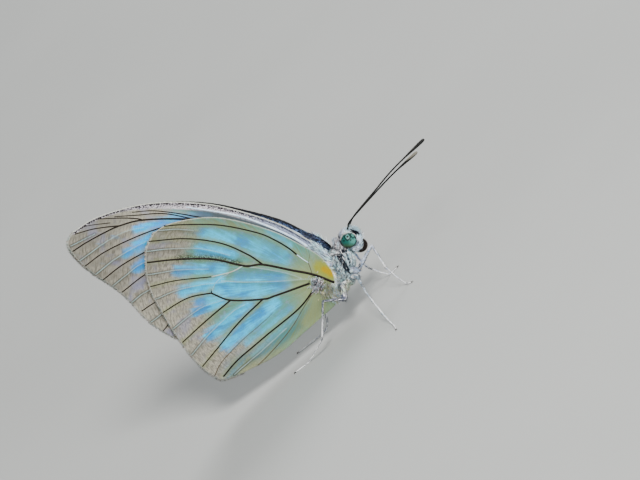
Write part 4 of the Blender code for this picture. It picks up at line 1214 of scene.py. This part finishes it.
def line_tufts(points, radii, count, draw, strip, lengths, width, flat, lift, colours, contrast=0.3):
    """Tufts round a tube, lying towards its end. Strip is the tube's row on the unwrap."""
    along = lengths_to(points)
    at = draw.random(count) * along[-1]
    middle = places_on(points, along, at)
    flow = unit(places_on(points, along, at + 0.1) - places_on(points, along, at - 0.1))
    turn = draw.random(count) * math.tau
    helper = unit(np.cross(flow, np.array((0.31, 0.17, 0.93))))
    normal = helper * np.cos(turn)[:, None] + np.cross(flow, helper) * np.sin(turn)[:, None]
    roots = middle + normal * (np.interp(at, along, radii) - 0.01)[:, None]
    share = at / along[-1]
    patch = np.stack([0.66 + 0.3 * share, strip + 0.05 * turn / math.tau], axis=1)
    size = np.interp(share, np.linspace(0.0, 1.0, len(lengths)), lengths)
    return coat_tufts(roots, normal, flow, size, width, flat, lift, draw, colours, patch, contrast), share


def join_tufts(groups):
    """Coats that share one flatness, as one."""
    joined = {key: np.concatenate([group[key] for group in groups]) for key in groups[0] if key != "flat"}
    return {**joined, "flat": groups[0]["flat"]}


def build_leg_coat(legs, coat):
    draw = np.random.default_rng(23)
    groups = []
    for index, (name, (points, radii, _)) in enumerate(legs.items()):
        tufts, place = line_tufts(points, radii, LEG_TUFTS, draw, 0.02 + 0.055 * index,
                                  (0.5, 0.3, 0.2, 0.16, 0.12), 0.035, 0.35, 0.32,
                                  rgb(LEG_TONES[name.split("_")[1]]), 0.5)
        dark_toe = ease(place, 0.78, 1.0)[:, None] * 0.75
        tufts["colour"] = tufts["colour"] * (1.0 - dark_toe) + dark_toe * rgb(LIGHT_BROWN)
        # Painted shade: the tufts on the underside of each leg, where they face down, are darkened.
        outward = unit(tufts["root"] - nearest_on(tufts["root"], points[::2])[0])
        tufts["colour"] *= 1.0 - 0.8 * ease(-outward[:, 2:], 0.0, 0.5)
        tufts["root"][:, 2] = np.maximum(tufts["root"][:, 2], 0.05)
        low = tufts["root"][:, 2] < 0.3
        tufts["along"][low, 2] = np.maximum(tufts["along"][low, 2], 0.0)
        tufts["bend"][low, 2] = np.maximum(tufts["bend"][low, 2], 0.0)
        groups.append(tufts)
    plant("leg_scale_coat", join_tufts(groups), coat)


def horn(base, ahead, aside, shape):
    """A thin curved horn from its base, as the places and radii of its middle line."""
    places = [base + row[0] * ahead + row[1] * aside + (0.0, 0.0, row[2]) for row in shape]
    return np.array(places), [row[3] for row in shape]


def build_claws_and_spurs(legs, dark):
    """Two hooked claws on each foot and two spurs at the end of each shin."""
    runs = []
    for points, _, stages in legs.values():
        ankle = int(np.argmin(np.abs(stages - ANKLE_STAGE)))
        ahead = unit(points[-1] - points[-4])
        shin = unit(points[ankle] - points[ankle - 3])
        for base, along, upright, shape in ((points[-1], ahead, (0.0, 0.0, 1.0), CLAW),
                                            (points[ankle], shin, (0.2, 0.1, 1.0), SPUR)):
            aside = unit(np.cross(along, np.array(upright)))
            runs += [horn(base, along, side * aside, shape) for side, _ in SIDES]
    bm = tubes("claws", runs, 6)
    for vertex in bm.verts:
        vertex.co.z = max(vertex.co.z, 0.004)
    add_piece("claws_and_spurs", mesh_of("claws_and_spurs", bm), (dark,))


def camera_axes():
    """The camera's own directions: to the right of its picture, up its picture, and back to its lens."""
    azimuth, height, roll = (math.radians(turn) for turn in (CAMERA_AZIMUTH, CAMERA_ELEVATION, CAMERA_ROLL))
    level = math.cos(height)
    back = Vector((math.sin(azimuth) * level, -math.cos(azimuth) * level, math.sin(height)))
    right = Vector((math.cos(azimuth), math.sin(azimuth), 0.0))
    up = back.cross(right)
    return math.cos(roll) * right - math.sin(roll) * up, math.sin(roll) * right + math.cos(roll) * up, back


def build_eyes(material):
    """Both globes. The marks' map lies on the right eye as the camera sees it, mirrored on the left one."""
    map_across, map_up, _ = camera_axes()
    for side, word in SIDES:
        bm = bmesh.new()
        bmesh.ops.create_uvsphere(bm, u_segments=72, v_segments=48, radius=1.0,
                                  matrix=Matrix.Rotation(math.radians(90.0), 4, "X"))
        layer = bm.loops.layers.uv.new("EyeMap")
        for face in bm.faces:
            for loop in face.loops:
                x, y, z = loop.vert.co
                seen = Vector((x, -side * y, z))
                loop[layer].uv = (seen.dot(map_across), seen.dot(map_up))
        centre = Vector(mirrored(EYE_CENTRE, side))
        bmesh.ops.transform(bm, verts=bm.verts,
                            matrix=Matrix.Translation(centre) @ Matrix.Diagonal((*EYE_HALF, 1.0)))
        bmesh.ops.recalc_face_normals(bm, faces=bm.faces)
        add_piece("eye_globe_" + word, mesh_of("eye_globe", bm), (material,), ("eye_" + word,))


def build_eye_rings(coat):
    """A ring of short pale scales round the rim of each eye."""
    draw = np.random.default_rng(41)
    groups = []
    turn = np.linspace(0.0, math.tau, 61)
    ones = np.ones(len(turn))
    for side, word in SIDES:
        ring = np.stack([EYE_CENTRE.x + EYE_RING_RADIUS * np.cos(turn), side * EYE_RING_OUT * ones,
                         EYE_CENTRE.z + EYE_RING_RADIUS * np.sin(turn)], axis=1)
        strip = 0.52 if word == "right" else 0.58
        tufts, _ = line_tufts(ring, EYE_RING_GIRTH * ones, EYE_RING_TUFTS, draw, strip, (0.22, 0.22), 0.04,
                              0.45, 0.7, rgb(tint(236, 240, 236)))
        dark = body_colours(tufts["root"]).sum(axis=1) < 0.6
        tufts["colour"][dark] = rgb(NIGHT_BLUE)
        groups.append(tufts)
    plant("eye_ring_scales", join_tufts(groups), coat)


def wing_tufts(wing, side, line, spread, count, flow, length, width, colours, row, lift, face, draw):
    """Hair that stands on a wing beside a line, each in one of the colours. Face is -1 on the inner face."""
    line = smooth_line(line, 0.2)
    lengths = lengths_to(line)
    spots = places_on(line, lengths, draw.random(count) * lengths[-1])
    spots = spots + spread * draw.standard_normal(spots.shape)
    spots = spots[inside(spots, wing.rim)]
    roots = wing.surface(spots, side, 0.5 * face * SHEET_THICKNESS)
    normals = np.tile(np.array((0.0, side * face, 0.0)), (len(roots), 1))
    picked = np.array([rgb(colour) for colour in colours])[draw.integers(len(colours), size=len(roots))]
    return coat_tufts(roots, normals, mirrored(flow, side), length, width, 0.5, lift, draw, picked,
                      wing_patch(spots, row))


def build_wing_root_hair(wings, coat):
    draw = np.random.default_rng(53)
    groups = [wing_tufts(wings[kind], side, *hair, draw) for side, _ in SIDES for kind, *hair in ROOT_HAIR]
    plant("wing_root_hair", join_tufts(groups), coat)


def build_fringe(wing, coat):
    """The row of short flat scales that edges each wing's outer margin."""
    draw = np.random.default_rng(67)
    groups = []
    line = smooth_line(wing.margin, 0.06)
    ahead = unit(np.gradient(line, axis=0))
    outward = np.stack([-ahead[:, 1], ahead[:, 0]], axis=1)
    outward *= np.sign((outward * (line - line.mean(axis=0) - (6.0, 0.0))).sum(axis=1, keepdims=True) + 1e-9)
    spots = np.repeat(line - 0.12 * outward, 2, axis=0)
    for side, _ in SIDES:
        roots = wing.surface(spots, side)
        tips = wing.surface(spots + 0.1 * np.repeat(outward, 2, axis=0), side)
        normals = np.tile(np.array((0.0, side, 0.0)), (len(roots), 1))
        tone = np.array((rgb(EDGE_WHITE), rgb(TAUPE)))[draw.choice(2, len(roots), p=(0.7, 0.3))]
        groups.append(coat_tufts(roots, normals, unit(tips - roots), 0.26, 0.05, 0.3, 0.02, draw, tone,
                                 wing_patch(spots, 0.9), 0.1))
    plant(wing.kind + "_fringe", join_tufts(groups), coat)


def build_palps(skin, coat):
    draw = np.random.default_rng(31)
    for side, word in SIDES:
        path = smooth_line(mirrored(PALP_PATH, side), 0.08)
        radii = np.interp(np.linspace(0.0, 1.0, len(path)), np.linspace(0.0, 1.0, 4), PALP_RADII)
        mesh = mesh_of("palp_core", tubes("palp", [(path, radii)], 12))
        paint_markings(mesh, np.tile(UNDER_HAIR * rgb(BLUE_WHITE), (len(mesh.vertices), 1)))
        add_piece("palp_core_" + word, mesh, (skin,), ("palp_" + word,))
        strip = 0.4 if word == "right" else 0.46
        tufts, _ = line_tufts(path, radii, PALP_TUFTS, draw, strip, (0.4, 0.5, 0.55, 0.45), 0.045, 0.5, 0.6,
                              rgb(tint(196, 214, 245)), 0.95)
        low = tufts["root"][:, 2] + 0.5 * tufts["root"][:, 0]
        tufts["colour"] *= 1.0 - 0.75 * ease(low[:, None], 9.15, 8.95)
        plant("palp_hair_" + word, tufts, coat)


def build_proboscis(material):
    """The coiled tongue: a tapering spiral with fine rings, its root under the chin."""
    turns = np.arange(0.0, COIL_TURNS, 1.0 / 48.0)
    radius = COIL_RADIUS * (1.0 - COIL_TIGHTENING * turns)
    angle = math.radians(COIL_START) - turns * math.tau
    coil = np.stack([COIL_CENTRE.x + radius * np.cos(angle), np.zeros(len(turns)),
                     COIL_CENTRE.z + radius * np.sin(angle)], axis=1)
    root = smooth_line((*COIL_ROOT, coil[0]), 0.06)
    path = np.vstack([root[:-1], coil])
    along = np.linspace(0.0, 1.0, len(path))
    radii = (0.18 - 0.06 * along) * (1.0 + 0.05 * np.cos(np.arange(len(path)) * math.pi))
    add_piece("coiled_tongue", mesh_of("coiled_tongue", tubes("tongue", [(path, radii)], 12)), (material,),
              ("proboscis",))


def build_feelers(material):
    for name, points in FEELERS.items():
        path = smooth_line(points, 0.06)
        along = np.linspace(0.0, 1.0, len(path))
        club = ease(along, 0.74, 0.96) * (1.0 - 0.6 * ease(along, 0.975, 1.0))
        rings = np.abs(np.sin(along * math.pi * FEELER_RINGS))
        radii = (FEELER_RADIUS + (CLUB_RADIUS - FEELER_RADIUS) * club) * (0.86 + 0.14 * np.sqrt(rings))
        socket = ease(along, 0.03, 0.0) * 0.08
        add_piece(name + "_shaft", mesh_of(name, tubes(name, [(path, radii + socket)], 12)), (material,),
                  (name,))


def feeler_paint():
    """Brown black with fine specks, and a pale tip to the right club, which is the higher one."""
    paint = Paint("ringed brown black", roughness=0.5, specular=0.2)
    place = paint.place()
    speck = paint.noise(place, 5.0, 2.0, 0.6)
    colour = paint.blend(paint.ease(speck, 0.55, 0.75), tint(10, 10, 9), tint(40, 36, 30))
    height = paint.node("ShaderNodeSeparateXYZ", Vector=place).outputs[2]
    colour = paint.lay(colour, TAUPE, paint.ease(height, *PALE_TIP), 0.8)
    return paint.finish(colour, speck, 0.3, 0.03)


def add_stage():
    """The camera that sees the butterfly as the picture does, the floor and the lights."""
    scene = bpy.context.scene
    across, up, back = camera_axes()
    target = (VIEW_TARGET + DATUM) * MM
    camera = put_in_scene("camera", bpy.data.cameras.new("camera"))
    turn = Matrix((across, up, back)).transposed().to_4x4()
    camera.matrix_world = Matrix.Translation(target + back * CAMERA_DISTANCE * MM) @ turn
    camera.data.sensor_width = SENSOR_WIDTH
    camera.data.lens = SENSOR_WIDTH * CAMERA_DISTANCE / VIEW_WIDTH
    camera.data.clip_start = 0.01
    scene.camera = camera

    bm = bmesh.new()
    bmesh.ops.create_grid(bm, x_segments=1, y_segments=1, size=FLOOR_HALF)
    floor = put_in_scene("floor", mesh_of("floor", bm))
    floor_paint = plain_scales("pale floor", tint(168, 170, 168), tint(172, 174, 172), 0.01, 0.8)
    floor.data.materials.append(floor_paint)

    for name, place, size, power, colour in LIGHTS:
        data = bpy.data.lights.new(name, "AREA")
        data.shape = "DISK"
        data.size = size
        data.energy = power
        data.color = colour
        lamp = put_in_scene(name, data)
        lamp.location = Vector(place)
        lamp.rotation_euler = (target - lamp.location).to_track_quat("-Z", "Y").to_euler()
    world = bpy.data.worlds.new("studio")
    world.use_nodes = True
    sky = world.node_tree.nodes["Background"]
    sky.inputs["Color"].default_value = WORLD_COLOUR
    sky.inputs["Strength"].default_value = WORLD_STRENGTH
    scene.world = world


def main():
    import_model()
    add_stage()

    wings = {
        "forewing": Wing("forewing", FOREWING_FRONT, FOREWING_MARGIN, FOREWING_BACK, FOREWING_VEINS,
                         FOREWING_CREASES, FOREWING_BLUES, FOREWING_OFFSET, FOREWING_ROOT),
        "hindwing": Wing("hindwing", HINDWING_FRONT, HINDWING_MARGIN, HINDWING_BACK, HINDWING_VEINS,
                         HINDWING_CREASES, HINDWING_BLUES, HINDWING_OFFSET, HINDWING_ROOT),
    }
    upper = upper_scales("blue and black upper scales")
    under = {kind: under_scales(kind + " under scales", kind == "hindwing") for kind in wings}
    edge_white = plain_scales("pale wing edge", EDGE_WHITE, DARK_TAUPE, 4.0)
    tones = {"dark": plain_scales("dark vein", VEIN_BROWN, tint(34, 25, 18), 4.0, 0.6, 0.15),
             "pale": plain_scales("pale vein and crease highlight", PALE_VEIN_AND_CREASE_HIGHLIGHT, CREAM_TAUPE, 0.7, 0.5),
             "white": plain_scales("white vein", tint(222, 240, 250), tint(190, 214, 240), 2.0, 0.45),
             "brown": plain_scales("brown vein", tint(84, 70, 52), tint(64, 54, 44), 3.0, 0.55)}
    for kind, wing in wings.items():
        for side, word in SIDES:
            build_wing(wing, side, word, under[kind], upper, edge_white)
            build_wing_lines(wing, side, word, tones)

    skin = coat_paint("marked skin", 0.6)
    coat = coat_paint("marked hair", 0.75)
    dark = plain_scales("dark cuticle", tint(18, 14, 12), tint(44, 34, 28), 4.0, 0.45, 0.3)
    legs = {name: leg_line(name) for name in LEG_JOINTS}
    faces = build_skin(skin, legs)
    build_trunk_coat(faces, legs, coat)
    build_face_locks(coat)
    build_leg_coat(legs, coat)
    build_wing_root_hair(wings, coat)
    build_eye_rings(coat)
    for wing in wings.values():
        build_fringe(wing, coat)
    build_claws_and_spurs(legs, dark)
    build_eyes(eye_paint())
    build_palps(skin, coat)
    build_proboscis(dark)
    build_feelers(feeler_paint())

    bpy.context.view_layer.update()


main()
